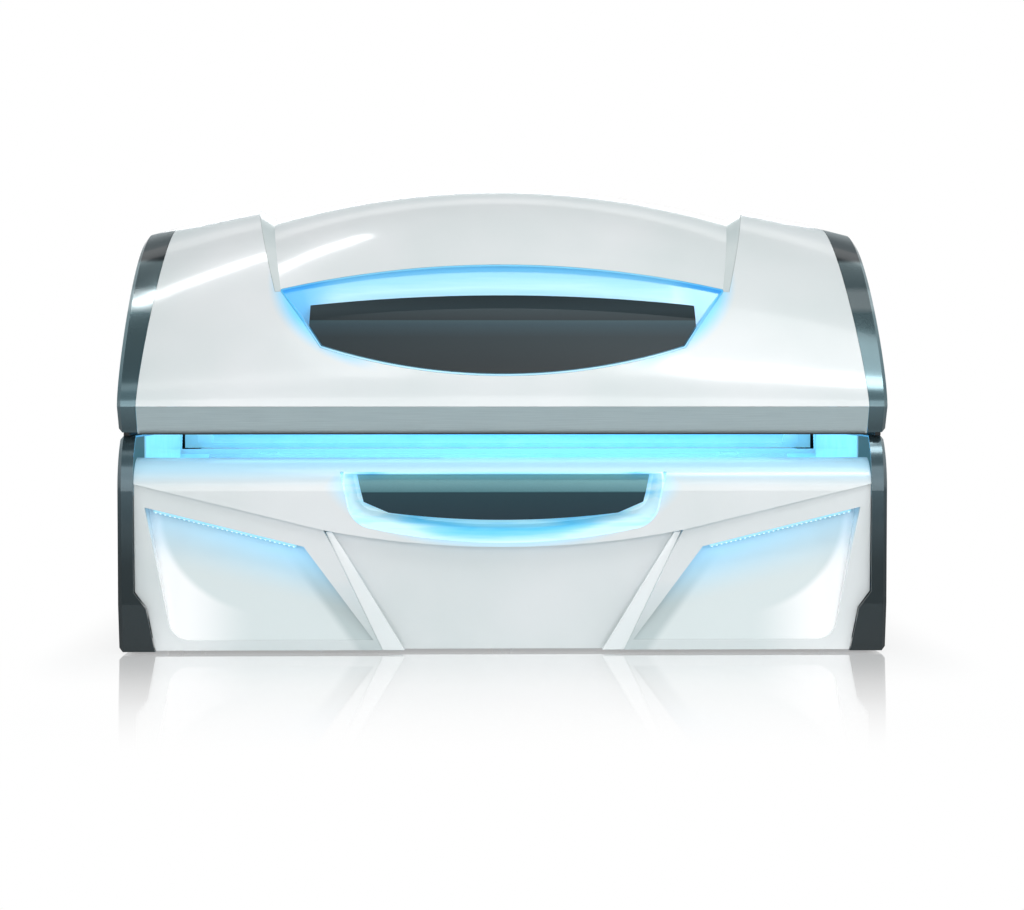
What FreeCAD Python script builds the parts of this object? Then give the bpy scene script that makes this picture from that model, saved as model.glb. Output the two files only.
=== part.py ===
import FreeCAD, Part
import math
import os
import re
from types import SimpleNamespace

import Sketcher
from FreeCAD import Placement, Rotation, Vector

# Clamshell tanning bed: a lying bench with tubes under a sagging acrylic, and a canopy that closes
# over it on a rear hinge. X runs along the bed with the head end at -X, Y from the front to the
# rear, Z up. The origin is on the floor under the middle of the bed. Millimetres.

SIZES = {
    # overall form
    "bedLength": 2310,
    "bedDepth": 1360,
    "closedHeight": 1451,
    "endHeight": 1300,
    "hullWall": 5,
    "capWall": 5,
    "seam": 0.8,
    "restGap": 0.3,
    # canopy outer form
    "lipHeight": 662,
    "railHeight": 81,
    "lipSetback": 35,
    "ridgeY": 10,
    "rearKneeHeight": 860,
    "rearEdgeHeight": 720,
    "capBottomGap": 3,
    "capEdgeChamfer": 12,
    "capStripTop": 94,
    "capStripBottom": 57,
    "frontRise": 0.21,
    "frontRun": 0.59,
    "rearFoldY": 220,
    "rearFoldDrop": 12,
    "crownRearY": 430,
    "crownRearDrop": 62,
    "rearShoulderInset": 80,
    "rearShoulderDrop": 185,
    # sunk crown between the two shoulders
    "crownMargin": 4,
    "crownFlare": 54,
    "crownChamferFront": 18,
    "crownChamferTop": 50,
    "crownSink": 39.35,
    "crownFrontDrop": 5,
    "crownWall": 7,
    # recess in the canopy's front
    "recessHalfTop": 680,
    "recessTopHeight": 1177,
    "recessTopArch": 77,
    "recessSideSpread": 130,
    "recessBottomArch": 85,
    "recessSill": 97,
    "recessRimWall": 5,
    "recessSideBow": 12,
    "recessDepthTop": 14.3,
    "recessDepthBottom": 107.8,
    "bandWall": 6,
    "badgeSideMargin": 90,
    "badgeTopMargin": 93,
    "badgeTopArch": 32,
    "badgeSink": 8,
    "badgeCreaseDrop": 42,
    "badgeWall": 5,
    "badgeGap": 3,
    "railInset": 4,
    # tunnel arch over the user
    "archCentreY": -70,
    "archCentreZ": 435,
    "archRadius": 550,
    "acrylicWall": 5,
    "archFrontAngle": 153.5,
    "archRearAngle": 18,
    "acrylicInset": 35,
    "lampRadius": 19,
    "lampWall": 1,
    "lampSides": 10,
    "lampInset": 90,
    "canopyLampCircleRadius": 590,
    "canopyLampFirstAngle": 21.5,
    "canopyLampStepAngle": 6.05,
    "canopyLampCount": 22,
    "holderLength": 35,
    "holderWidth": 46,
    "sheetWall": 1.5,
    "linerWall": 4,
    "linerNotch": 60,
    # canopy frame
    "hoopFrontInset": 73.8,
    "hoopCentreZ": 620,
    "hoopTube": 30,
    "rearTube": 40,
    "rearTubeHeight": 780,
    "tubeWall": 3,
    # hinge between bench and canopy
    "hingeInset": 140,
    "hingeZ": 690,
    "hingePinRadius": 10,
    "hingeEye": 25,
    "hingePlate": 12,
    "hingeStandoff": 30,
    "bracketPlate": 8,
    "bracketGap": 6,
    "runningGap": 0.05,
    # gas struts
    "strutSpacing": 40,
    "strutBaseLead": 240,
    "strutBaseZ": 200,
    "strutLead": 130,
    "strutTopZ": 740,
    "strutTubeRadius": 11,
    "strutRodRadius": 5,
    "strutTubeLength": 350,
    "strutBoreStart": 200,
    "strutRodStart": 230,
    "strutStudRadius": 5,
    "strutEyeRadius": 16,
    "strutEyePlay": 6.5,
    "strutEyeWidth": 14,
    "strutSlot": 90,
    "strutSlotLead": 5,
    # bench frame
    "frameTube": 50,
    "frameDepthInset": 200,
    "frameInset": 115,
    "frameBottom": 30,
    "rearRailTop": 520,
    "frontRailTop": 460,
    "footRadius": 30,
    "footHeight": 10,
    "footStud": 6,
    # bench outer form
    "skirtBottom": 6,
    "capStripWidth": 48,
    "partingGap": 7,
    "benchCapNoseDepth": 62,
    "benchCapShoulder": 90,
    "benchCapCurl": 60,
    "benchCapRearInset": 30,
    "benchCapRearTop": 560,
    "curlHeight": 490,
    "toeSetback": 20,
    "toeHeight": 150,
    "flareTop": 187,
    "flareKnee": 138,
    "flareKneeWidth": 36,
    "flareFootWidth": 60,
    "trimWall": 5,
    "trimSetback": 2,
    "noseDepth": 78,
    "noseZ": 588,
    "ledgeGap": 7,
    "ledgeZ": 570,
    "seamOuterHeight": 511,
    "seamKneeHalf": 541,
    "seamKneeHeight": 373,
    "seamMiddleHeight": 322,
    # lower recess with its dark plate
    "dishHalfTop": 490,
    "dishTopHeight": 547,
    "dishCornerHalf": 470,
    "dishCornerHeight": 450,
    "dishKneeHalf": 395,
    "dishKneeHeight": 376,
    "dishBottomHeight": 334,
    "dishTaper": 24,
    "dishDepth": 46,
    "dishWall": 5,
    "plateHalfTop": 440,
    "plateTopHeight": 538,
    "plateCornerHalf": 420,
    "plateCornerHeight": 457,
    "plateKneeHalf": 345,
    "plateKneeHeight": 424,
    "plateBottomHeight": 402,
    "plateCreaseHeight": 488,
    "plateCreaseSetback": 10,
    "plateTopSetback": 36,
    "plateBottomSetback": 22,
    # wing panels
    "wingTopSetback": 10.1,
    "wingTopHeight": 480,
    "wingFootSetback": 28,
    "panelFoot": 9,
    "panelTuck": 4,
    "wingWall": 4,
    "wingFootHalf": 365,
    "wingRecessMargin": 80,
    "wingRecessOuterHeight": 441,
    "wingRecessInnerMargin": 59,
    "wingRecessInnerHeight": 322,
    "wingRecessFootMargin": 27,
    "wingRecessFoot": 40,
    "wingRecessRound": 58,
    "wingRecessSlant": 67,
    "wingRecessCornerHeight": 100,
    "wingRecessDepth": 80,
    "wingRecessLip": 5,
    "ledStripWidth": 12,
    "ledStripHeight": 9,
    # middle cover under the recess
    "ribTopWidth": 3,
    "coverTopHeight": 370,
    "ribFootWidth": 61,
    "coverTopSetback": 23,
    "coverFootSetback": 63,
    "coverTuck": 8,
    "coverWall": 5,
    # lying surface
    "benchCentreY": -55,
    "benchCentreZ": 1177,
    "benchRadius": 727,
    "benchFrontY": -455,
    "benchRearY": 345,
    "benchAcrylicWall": 8,
    "knuckleX": 800,
    "knuckleLength": 60,
    "knucklePin": 3,
    "knuckleSides": 8,
    "benchLampCircleRadius": 770,
    "benchLampCount": 15,
    "benchLampStepAngle": 3.7,
    "benchReflectorRadius": 793,
    "deckHeight": 586,
    "deckWall": 2,
    "rearCoverInset": 57,
    "rearCoverFoot": 30,
    "louvreCount": 9,
    "louvrePitch": 34,
    "louvreHeight": 8,
    "louvreWidth": 420,
    "louvreX": 520,
    "louvreFoot": 120,
    "spigotRadius": 100,
    "spigotWall": 3,
    "spigotFlange": 125,
    "spigotFlangeWall": 4,
    "spigotLength": 52,
    "spigotHeight": 330,
    "glandRadius": 16,
    "glandBore": 7,
    "glandLength": 30,
    "glandX": 900,
    "glandZ": 110,
    # inner works of the bench
    "panWall": 2,
    "fanFrame": 225,
    "fanHeight": 80,
    "fanBore": 102,
    "fanX": 500,
    "impellerRadius": 96,
    "hubRadius": 38,
    "hubHeight": 50,
    "bladeCount": 7,
    "bladeWall": 3,
    "bladeWidth": 45,
    "bladePitchAngle": 32,
    "fanPost": 6,
    "ballastLength": 230,
    "ballastWidth": 80,
    "ballastHeight": 60,
    "ballastCount": 4,
    "ballastPitch": 260,
    "ballastY": 300,
    "powerLength": 460,
    "powerWidth": 200,
    "powerHeight": 180,
    "powerWall": 2,
    # face tanner, control pod and air nozzles at the head end of the canopy
    "faceInset": 20,
    "faceLength": 450,
    "faceHalfWidth": 180,
    "faceBottom": 950,
    "faceTop": 1120,
    "faceWall": 3,
    "faceLampCount": 3,
    "faceLampRadius": 9,
    "faceReflectorWall": 2,
    "faceReflectorHeight": 90,
    "faceReflectorRoof": 29.6,
    "filterWall": 12,
    "filterBorder": 22,
    "glassWall": 4,
    "filterPinRadius": 4,
    "podSpacing": 40,
    "podLength": 240,
    "podHalfWidth": 70,
    "podBottom": 946,
    "podTop": 994,
    "buttonHalf": 8,
    "buttonLength": 11,
    "buttonProud": 4,
    "buttonTravel": 1.5,
    "buttonPitch": 30,
    "buttonCount": 3,
    "buttonY": -30,
    "nozzleRadius": 22,
    "nozzleLength": 60,
    "nozzleY": -100,
    "nozzleX": 62,
    "nozzleSlot": 12,
    "canopyFanX": 0,
    "canopyFanFrame": 150,
    "canopyFanHeight": 70,
    "canopyFanBore": 69,
    "canopyImpellerRadius": 64,
    "canopyHubRadius": 26,
}

# lengths that follow from the driving sizes
FOLLOWING = {
    "creaseHeight": "lipHeight + railHeight",
    "recessCornerHeight": "recessTopHeight - recessTopArch",
    "recessHalfBottom": "recessHalfTop - recessSideSpread",
    "recessBottomHeight": "creaseHeight + recessSill",
    "recessShoulderHeight": "recessBottomHeight + recessBottomArch",
    "badgeHalfTop": "recessHalfTop - badgeSideMargin",
    "badgeTopHeight": "recessTopHeight - badgeTopMargin",
    "badgeCornerHeight": "badgeTopHeight - badgeTopArch",
    "crownHalfFront": "recessHalfTop + crownMargin",
    "crownHalfTop": "crownHalfFront + crownFlare",
    "shoulderHalfFront": "crownHalfFront + crownChamferFront",
    "shoulderHalfTop": "crownHalfTop + crownChamferTop",
    "crownFrontHeight": "recessCornerHeight - crownFrontDrop",
    "benchCapTop": "lipHeight - partingGap",
    "frameHalf": "bedLength / 2 - frameInset",
    "hingeX": "frameHalf + hingeStandoff",
    "strutX": "hingeX + strutSpacing",
    "hoopX": "frameHalf",
    "acrylicHalf": "frameHalf - acrylicInset",
    "lampHalf": "frameHalf - lampInset",
    "faceLeft": "faceInset - lampHalf",
    "faceRight": "faceLeft + faceLength",
    "podLeft": "faceRight + podSpacing",
    "podRight": "podLeft + podLength",
    "rearShoulderY": "bedDepth / 2 - rearShoulderInset",
    "hingeY": "bedDepth / 2 - hingeInset",
    "strutTopY": "hingeY - strutLead",
    "strutBaseY": "hingeY - strutBaseLead",
    "strutSlotY": "strutTopY - strutSlotLead",
    "frameRailY": "bedDepth / 2 - frameDepthInset",
    "rearCoverY": "bedDepth / 2 - rearCoverInset",
    "benchCapRearY": "bedDepth / 2 - benchCapRearInset",
    "benchCapTopRearY": "benchCapRearY - benchCapShoulder",
    "benchCapTopFrontY": "benchCapNoseDepth - bedDepth / 2",
    "toeY": "toeSetback - bedDepth / 2",
    "trimFaceY": "trimSetback - bedDepth / 2",
    "noseY": "trimFaceY + noseDepth",
    "ledgeY": "benchFrontY - ledgeGap",
    "plateCreaseY": "trimFaceY + plateCreaseSetback",
    "plateTopY": "trimFaceY + plateTopSetback",
    "plateBottomY": "trimFaceY + plateBottomSetback",
    "wingTopY": "trimFaceY + wingTopSetback",
    "wingFootY": "trimFaceY + wingFootSetback",
    "coverTopY": "trimFaceY + coverTopSetback",
    "coverFootY": "trimFaceY + coverFootSetback",
    "wingRecessOuter": "bedLength / 2 - wingRecessMargin",
    "wingRecessCorner": "wingRecessOuter - wingRecessSlant",
    "wingRecessFootOuter": "wingRecessCorner - wingRecessRound",
    "wingRecessInner": "seamKneeHalf + wingRecessInnerMargin",
    "wingRecessFootInner": "wingFootHalf + wingRecessFootMargin",
    "coverTopHalf": "seamKneeHalf - ribTopWidth",
    "coverFootHalf": "wingFootHalf - ribFootWidth",
}

doc = FreeCAD.newDocument("TanningBed")
sheet = doc.addObject("Spreadsheet::Sheet", "Sizes")
for row, (alias, value) in enumerate(SIZES.items(), start=1):
    sheet.set(f"A{row}", alias)
    sheet.set(f"B{row}", str(value))
    sheet.setAlias(f"B{row}", alias)
doc.recompute()
size = SimpleNamespace(**{alias: float(getattr(sheet, alias)) for alias in SIZES})

X_AXIS = Vector(1, 0, 0)
Y_AXIS = Vector(0, 1, 0)
Z_AXIS = Vector(0, 0, 1)
SIDES = {"left": -1, "right": 1}
FULL_TURN = 360
UPWARD = 90
DOWNWARD = 270
HEXAGON = 6
HALVINGS = 40
subParts = []


def linked(text):
    """The expression with each size pointing at its cell and each following length written out."""
    return re.sub(r"[A-Za-z]\w*", cellOf, text)


def cellOf(word):
    name = word[0]
    if name in FOLLOWING:
        return f"({linked(FOLLOWING[name])})"
    return "Sizes." + name if name in SIZES else name


def number(text):
    """The value of an expression in the sheet's sizes."""
    return float(sheet.evalExpression(linked(text)))


for alias in FOLLOWING:
    setattr(size, alias, number(alias))
FAR = 4 * size.bedLength
HALF = size.bedLength / 2
FRONT_Y = -size.bedDepth / 2
REAR_Y = size.bedDepth / 2


def bind(item, path, text):
    """Ties one property of an object to an expression in the sheet's sizes."""
    item.setExpression(path, linked(text))


def bindPlace(item, corner):
    for axis, text in zip("xyz", corner):
        bind(item, f"Placement.Base.{axis}", text)


def subPart(item, label):
    item.Label = label
    subParts.append(item)
    return item


def addBox(name, lengths, corner):
    """A Part box from three length expressions and three corner expressions."""
    box = doc.addObject("Part::Box", name)
    for prop, text in zip(("Length", "Width", "Height"), lengths):
        bind(box, prop, text)
    bindPlace(box, corner)
    return box


def addCylinder(name, radius, height, base, axis=Z_AXIS):
    cylinder = doc.addObject("Part::Cylinder", name)
    cylinder.Placement = Placement(Vector(), Rotation(Z_AXIS, axis))
    bind(cylinder, "Radius", radius)
    bind(cylinder, "Height", height)
    bindPlace(cylinder, base)
    return cylinder


def addPrism(name, radius, height, base):
    """An upright hexagonal prism, such as a nut or a foot."""
    prism = doc.addObject("Part::Prism", name)
    prism.Polygon = HEXAGON
    bind(prism, "Circumradius", radius)
    bind(prism, "Height", height)
    bindPlace(prism, base)
    return prism


def addCut(name, base, tool):
    cut = doc.addObject("Part::Cut", name)
    cut.Base = base
    cut.Tool = tool
    return cut


def addFuse(name, items):
    fuse = doc.addObject("Part::MultiFuse", name)
    fuse.Shapes = items
    return fuse


def addGroup(name, items):
    """Several separate solids kept as one sub-part."""
    group = doc.addObject("Part::Compound", name)
    group.Links = items
    return group


def addShape(label, shape):
    """A sub-part whose shape comes from Part's own functions."""
    feature = doc.addObject("Part::Feature", label)
    feature.Shape = shape
    return subPart(feature, label)


def addSketch(body, name, plane, outlines, offset=None):
    """A sketch of closed polygons; a corner's third entry is the radius expression of the arc that
    leads to the next corner, positive when the arc bulges to the right of the way along."""
    sketch = body.newObject("Sketcher::SketchObject", name)
    origin = next(item for item in body.Origin.OriginFeatures if item.Role == plane)
    sketch.AttachmentSupport = [(origin, "")]
    sketch.MapMode = "FlatFace"
    if offset:
        bind(sketch, "AttachmentOffset.Base.z", offset)
    for corners in outlines:
        addOutline(sketch, corners)
    return sketch


def addOutline(sketch, corners):
    points = [Vector(number(corner[0]), number(corner[1])) for corner in corners]
    first = sketch.GeometryCount
    for index, corner in enumerate(corners):
        start = points[index]
        end = points[(index + 1) % len(points)]
        if len(corner) > 2:
            sketch.addGeometry(arcBetween(start, end, number(corner[2])))
        else:
            sketch.addGeometry(Part.LineSegment(start, end))
    for index, corner in enumerate(corners):
        line = first + index
        following = first + (index + 1) % len(corners)
        startPoint, endPoint = arcEnds(corner)
        nextStart = arcEnds(corners[(index + 1) % len(corners)])[0]
        sketch.addConstraint(Sketcher.Constraint("Coincident", line, endPoint, following, nextStart))
        for kind, text in zip(("DistanceX", "DistanceY"), corner[:2]):
            place = sketch.addConstraint(Sketcher.Constraint(kind, -1, 1, line, startPoint, number(text)))
            sketch.setExpression(f"Constraints[{place}]", linked(text))
        if len(corner) > 2:
            setArcRadius(sketch, line, corner, corners[(index + 1) % len(corners)])


def setArcRadius(sketch, arc, corner, following):
    """The arc's radius; a half circle is fixed by its centre, which lies midway between its ends."""
    start, end = [Vector(number(place[0]), number(place[1])) for place in (corner, following)]
    radius = abs(number(corner[2]))
    if radius - (end - start).Length / 2 > size.runningGap:
        place = sketch.addConstraint(Sketcher.Constraint("Radius", arc, radius))
        sketch.setExpression(f"Constraints[{place}]", linked(f"abs({corner[2]})"))
        return
    axis = 0 if abs(end.y - start.y) > abs(end.x - start.x) else 1
    middle = f"(({corner[axis]}) + ({following[axis]})) / 2"
    kind = ("DistanceX", "DistanceY")[axis]
    place = sketch.addConstraint(Sketcher.Constraint(kind, -1, 1, arc, 3, number(middle)))
    sketch.setExpression(f"Constraints[{place}]", linked(middle))


def arcEnds(corner):
    """Sketcher counts an arc's ends anticlockwise, so an arc that runs clockwise swaps them."""
    clockwise = len(corner) > 2 and number(corner[2]) < 0
    return (2, 1) if clockwise else (1, 2)


def arcBetween(start, end, radius):
    """The shorter arc between two points; a positive radius runs anticlockwise."""
    middle = (start + end) / 2
    half = (end - start) / 2
    along = Vector(-half.y, half.x).normalize()
    depth = math.sqrt(max(radius ** 2 - half.Length ** 2, 0))
    centre = middle + along * depth * (1 if radius > 0 else -1)
    first, last = (start, end) if radius > 0 else (end, start)
    circle = Part.Circle(centre, Z_AXIS, abs(radius))
    low = math.atan2(first.y - centre.y, first.x - centre.x)
    high = math.atan2(last.y - centre.y, last.x - centre.x)
    return Part.ArcOfCircle(circle, low, high if high > low else high + 2 * math.pi)


def addBody(label):
    body = doc.addObject("PartDesign::Body", label)
    return subPart(body, label)


def addPad(body, name, sketch, length, both=False, reverse=False):
    pad = body.newObject("PartDesign::Pad", name)
    pad.Profile = sketch
    bind(pad, "Length", length)
    pad.Midplane = both
    pad.Reversed = reverse
    return pad


def addPocket(body, name, sketch, length, both=False, reverse=False):
    pocket = body.newObject("PartDesign::Pocket", name)
    pocket.Profile = sketch
    bind(pocket, "Length", length)
    pocket.Midplane = both
    pocket.Reversed = reverse
    return pocket


def rectangle(low, high):
    return [(low[0], low[1]), (high[0], low[1]), (high[0], high[1]), (low[0], high[1])]


def wireOf(points, bulges=None):
    """A closed wire through the points; bulges holds a point on the arc after a corner's number."""
    bulges = bulges or {}
    edges = []
    for index, start in enumerate(points):
        end = points[(index + 1) % len(points)]
        if index in bulges:
            edges.append(Part.Arc(start, bulges[index], end).toShape())
        else:
            edges.append(Part.makeLine(start, end))
    return Part.Wire(edges)


def prismAlongY(points, bulges=None, grow=0.0):
    """The outline, given in X and Z, carried through the whole depth of the bed."""
    wire = wireOf([Vector(x, -FAR / 2, z) for x, z in points],
                  {k: Vector(x, -FAR / 2, z) for k, (x, z) in (bulges or {}).items()})
    if grow:
        wire = wire.makeOffset2D(grow)
    return Part.Face(wire).extrude(Vector(0, FAR, 0))


def blockOf(low, high):
    return Part.makeBox(high[0] - low[0], high[1] - low[1], high[2] - low[2], Vector(*low))


def ringSector(inner, outer, centre, lowAngle, highAngle, left, right):
    """A sheet rolled about an axis along X, between two angles counted from +Y towards +Z."""
    turn = math.radians(lowAngle)
    start = Vector(0, math.cos(turn), math.sin(turn))
    origin = Vector(left, *centre)
    span = highAngle - lowAngle
    shapes = []
    for radius in (outer, inner):
        rod = Part.makeCylinder(radius, right - left, Vector(), Z_AXIS, span)
        rod.Placement = Placement(origin, Rotation(start, X_AXIS.cross(start), X_AXIS, "ZXY"))
        shapes.append(rod)
    return shapes[0].cut(shapes[1])


def onRing(radius, angle, centre):
    turn = math.radians(angle)
    return centre[0] + radius * math.cos(turn), centre[1] + radius * math.sin(turn)


def mirrored(shape):
    return shape.mirror(Vector(), X_AXIS)


# ---- canopy outer form -------------------------------------------------------------------------

STATIONS = [-1.0, -0.5, 0.0, 0.5, 1.0]
INNER_FLATS = 5
CROWN_PANES = 3


def evenShares(count):
    """Shares of a run from 0 to 1 in equal steps."""
    return [step / count for step in range(count + 1)]


def bezierPoint(poles, t):
    a, b, c, d = poles
    weights = ((1 - t) ** 3, 3 * (1 - t) ** 2 * t, 3 * (1 - t) * t * t, t ** 3)
    return tuple(sum(w * p[k] for w, p in zip(weights, (a, b, c, d))) for k in (0, 1))


def bezierEdge(x, poles):
    curve = Part.BezierCurve()
    curve.setPoles([Vector(x, y, z) for y, z in poles])
    return curve.toShape()


def archHeight(x, half, edge):
    """Height of a shallow arch that is closedHeight in the middle and edge at half."""
    return size.closedHeight - (size.closedHeight - edge) * (x / half) ** 2


def hullArch(x):
    return archHeight(x, HALF, size.endHeight)


CROWN_EDGE = hullArch(size.crownHalfTop) - size.crownSink


def crownArch(x):
    return archHeight(x, size.crownHalfTop, CROWN_EDGE)


def frontPoles(height, inset=0.0):
    """The front's curve from the crease above the rail to the ridge, for one height of the ridge."""
    front = FRONT_Y + inset
    top = height - inset
    rise = top - size.creaseHeight
    run = size.ridgeY - front
    return [(front, size.creaseHeight),
            (front, size.creaseHeight + size.frontRise * rise),
            (front + size.frontRun * run, top),
            (size.ridgeY, top)]


def rearFolds(height, inset=0.0):
    """The rear's folded flats from the ridge down to the edge above the hinge."""
    top = height - inset
    rear = REAR_Y - inset
    return [(size.ridgeY, top),
            (size.rearFoldY, top - size.rearFoldDrop),
            (size.crownRearY, top - size.crownRearDrop),
            (size.rearShoulderY - inset / 2, top - size.rearShoulderDrop),
            (rear, size.rearKneeHeight),
            (rear, size.rearEdgeHeight)]


def foldHeight(y, folds):
    for (y0, z0), (y1, z1) in zip(folds, folds[1:]):
        if y <= y1:
            return line(y, y0, z0, y1, z1)
    return folds[-1][1]


def surfaceAt(y, arch):
    """Height of the hull over a point, given the arch of its ridge."""
    if y >= size.ridgeY:
        return foldHeight(y, rearFolds(arch))
    poles = frontPoles(arch)
    low, high = 0.0, 1.0
    for _ in range(HALVINGS):
        middle = (low + high) / 2
        if bezierPoint(poles, middle)[0] < y:
            low = middle
        else:
            high = middle
    return bezierPoint(poles, middle)[1]


def frontAt(z, arch, inset=0.0):
    """Depth of the hull's front at a height, given the arch of its ridge."""
    poles = frontPoles(arch, inset)
    low, high = 0.0, 1.0
    for _ in range(HALVINGS):
        middle = (low + high) / 2
        if bezierPoint(poles, middle)[1] < z:
            low = middle
        else:
            high = middle
    return bezierPoint(poles, middle)[0]


def chain(x, path):
    points = [Vector(x, y, z) for y, z in path]
    return [Part.makeLine(a, b) for a, b in zip(points, points[1:])]


def hullSection(x, height):
    """Front and rear wall of the hull as one closed strip; the hidden inside is a few flats."""
    wall = size.hullWall
    rear = rearFolds(height)
    inner = list(reversed(rearFolds(height, wall)))[1:-1]
    inner += [bezierPoint(frontPoles(height, wall), t) for t in evenShares(INNER_FLATS)[::-1]]
    path = rear + [(REAR_Y - wall, size.rearEdgeHeight)] + inner + [(FRONT_Y, size.creaseHeight)]
    return Part.Wire([bezierEdge(x, frontPoles(height))] + chain(x, path))


def capLine(z):
    """Half length of the light shells where the dark end cap begins, at a height."""
    share = (z - size.creaseHeight) / (size.endHeight - size.creaseHeight)
    return HALF - size.capStripBottom - (size.capStripTop - size.capStripBottom) * share


def shellZone(gap):
    """Everything between the two end caps."""
    above = size.closedHeight + size.creaseHeight
    outline = [(-capLine(size.creaseHeight), 0), (capLine(size.creaseHeight), 0),
               (capLine(size.creaseHeight), size.creaseHeight), (capLine(above), above),
               (-capLine(above), above), (-capLine(size.creaseHeight), size.creaseHeight)]
    return prismAlongY(outline, grow=gap)


def crownZone(grow=0.0):
    """The field between the shoulders, in front of the ridge."""
    top = hullArch(size.shoulderHalfTop)
    above = 2 * size.closedHeight
    outline = [(-size.shoulderHalfFront, size.crownFrontHeight),
               (size.shoulderHalfFront, size.crownFrontHeight),
               (size.shoulderHalfTop, top), (size.shoulderHalfTop, above),
               (-size.shoulderHalfTop, above), (-size.shoulderHalfTop, top)]
    return prismAlongY(outline, grow=grow)


def recessZone(grow):
    """The opening in the front: arched on top, a wide smile below."""
    sideX = (size.recessHalfTop + size.recessHalfBottom) / 2 + size.recessSideBow
    sideZ = (size.recessCornerHeight + size.recessShoulderHeight) / 2 - size.recessSideBow
    outline = [(size.recessHalfTop, size.recessCornerHeight),
               (-size.recessHalfTop, size.recessCornerHeight),
               (-size.recessHalfBottom, size.recessShoulderHeight),
               (size.recessHalfBottom, size.recessShoulderHeight)]
    bulges = {0: (0, size.recessTopHeight), 1: (-sideX + 2 * size.recessSideBow, sideZ),
              2: (0, size.recessBottomHeight), 3: (sideX - 2 * size.recessSideBow, sideZ)}
    return prismAlongY(outline, bulges, grow)


def line(x, x0, z0, x1, z1):
    return z0 + (z1 - z0) * (x - x0) / (x1 - x0)


CROWN_LOW = size.rearEdgeHeight


def crownEdges(y):
    """Shoulder edge, sunk edge and middle of the crown panel in the plane at one depth."""
    if y >= size.ridgeY:
        fade = 1 - (y - size.ridgeY) / (size.crownRearY - size.ridgeY)
        outerX = size.shoulderHalfTop
        innerX = size.crownHalfTop
        sink = (hullArch(innerX) - crownArch(innerX)) * fade
        innerZ = surfaceAt(y, hullArch(innerX)) - sink
    else:
        outerX = size.shoulderHalfTop
        innerX = size.crownHalfTop
        top = hullArch(size.shoulderHalfTop)
        for _ in range(HALVINGS):
            outerX = line(surfaceAt(y, hullArch(outerX)), size.crownFrontHeight,
                          size.shoulderHalfFront, top, size.shoulderHalfTop)
            innerX = line(surfaceAt(y, crownArch(innerX)), size.crownFrontHeight,
                          size.crownHalfFront, CROWN_EDGE, size.crownHalfTop)
        innerZ = surfaceAt(y, crownArch(innerX))
    outer = (outerX - size.seam, surfaceAt(y, hullArch(outerX)))
    return outer, (innerX, innerZ), surfaceAt(y, size.closedHeight)


def crownSection(y, low=CROWN_LOW, drop=0.0):
    """Chamfer, arch and chamfer over a flat; faceted and lowered for the underside."""
    outer, inner, middle = crownEdges(y)
    right = [Vector(outer[0], y, outer[1]), Vector(inner[0], y, inner[1])]
    left = [Vector(-p.x, p.y, p.z) for p in right]
    arch = Part.Arc(left[1], Vector(0, y, middle), right[1]).toShape()
    if drop:
        beyond = Vector(size.capStripTop, 0, 0)
        path = [left[0] - beyond, left[0]] + arch.discretize(4) + [right[0], right[0] + beyond]
        floor = [Vector(path[-1].x, y, low), Vector(path[0].x, y, low)]
        return wireOf([p - Vector(0, 0, drop) for p in path] + floor)
    under = [Vector(right[0].x, y, low), Vector(left[0].x, y, low)]
    path = [right[0]] + under + [left[0]]
    edges = [Part.makeLine(left[0], left[1]), arch, Part.makeLine(right[1], right[0])]
    return Part.Wire(edges + [Part.makeLine(a, b) for a, b in zip(path, path[1:])])


def crownFront():
    """Depths of the sections from the recess up to the ridge."""
    start = frontAt(size.crownFrontHeight + 2 * size.seam, hullArch(size.shoulderHalfFront))
    return [start + (size.ridgeY - start) * share for share in evenShares(CROWN_PANES)]


def crownRear():
    return [size.ridgeY, size.rearFoldY, size.crownRearY - size.seam]


def makeHull():
    """The whole lofted skin, from rounded end to rounded end, before it is cut into shells."""
    reach = HALF - size.capEdgeChamfer
    return Part.makeLoft([hullSection(s * reach, hullArch(s * reach)) for s in STATIONS], True, False)


def makeHullCore():
    """The space under the hull's outer skin."""
    wires = []
    for share in STATIONS:
        x = share * HALF
        height = hullArch(x)
        path = rearFolds(height) + [(FRONT_Y, size.rearEdgeHeight), (FRONT_Y, size.creaseHeight)]
        wires.append(Part.Wire([bezierEdge(x, frontPoles(height))] + chain(x, path)))
    return Part.makeLoft(wires, True, False)


hull = makeHull()
hullCore = makeHullCore()
inFront = blockOf((-FAR, -FAR, -FAR), (FAR, size.ridgeY - size.seam / 2, FAR))
behind = blockOf((-FAR, size.ridgeY + size.seam / 2, -FAR), (FAR, FAR, FAR))
betweenCaps = shellZone(-size.seam / 2)
rimGrow = size.recessRimWall + size.seam

frontShell = hull.common(inFront).common(betweenCaps).cut(crownZone()).cut(recessZone(rimGrow))
addShape("canopy_front_shell", frontShell)

rearHole = blockOf((-size.shoulderHalfTop, -FAR, 0), (size.shoulderHalfTop, size.crownRearY, FAR))
addShape("canopy_rear_shell", hull.common(behind).common(betweenCaps).cut(rearHole))

crown = Part.makeLoft([crownSection(y) for y in crownFront()], True, False)
crown = crown.common(crownZone(-size.seam))
crown = crown.fuse(Part.makeLoft([crownSection(y) for y in crownRear()], True, True))
underPlanes = [crownFront()[0] - size.crownWall] + crownFront()[1:] + crownRear()[1:-1]
underPlanes += [crownRear()[-1] + size.crownWall]
underside = Part.makeLoft([crownSection(y, 0, size.crownWall) for y in underPlanes], True, True)
addShape("canopy_crown_panel", crown.cut(underside).cut(recessZone(rimGrow)))


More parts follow.
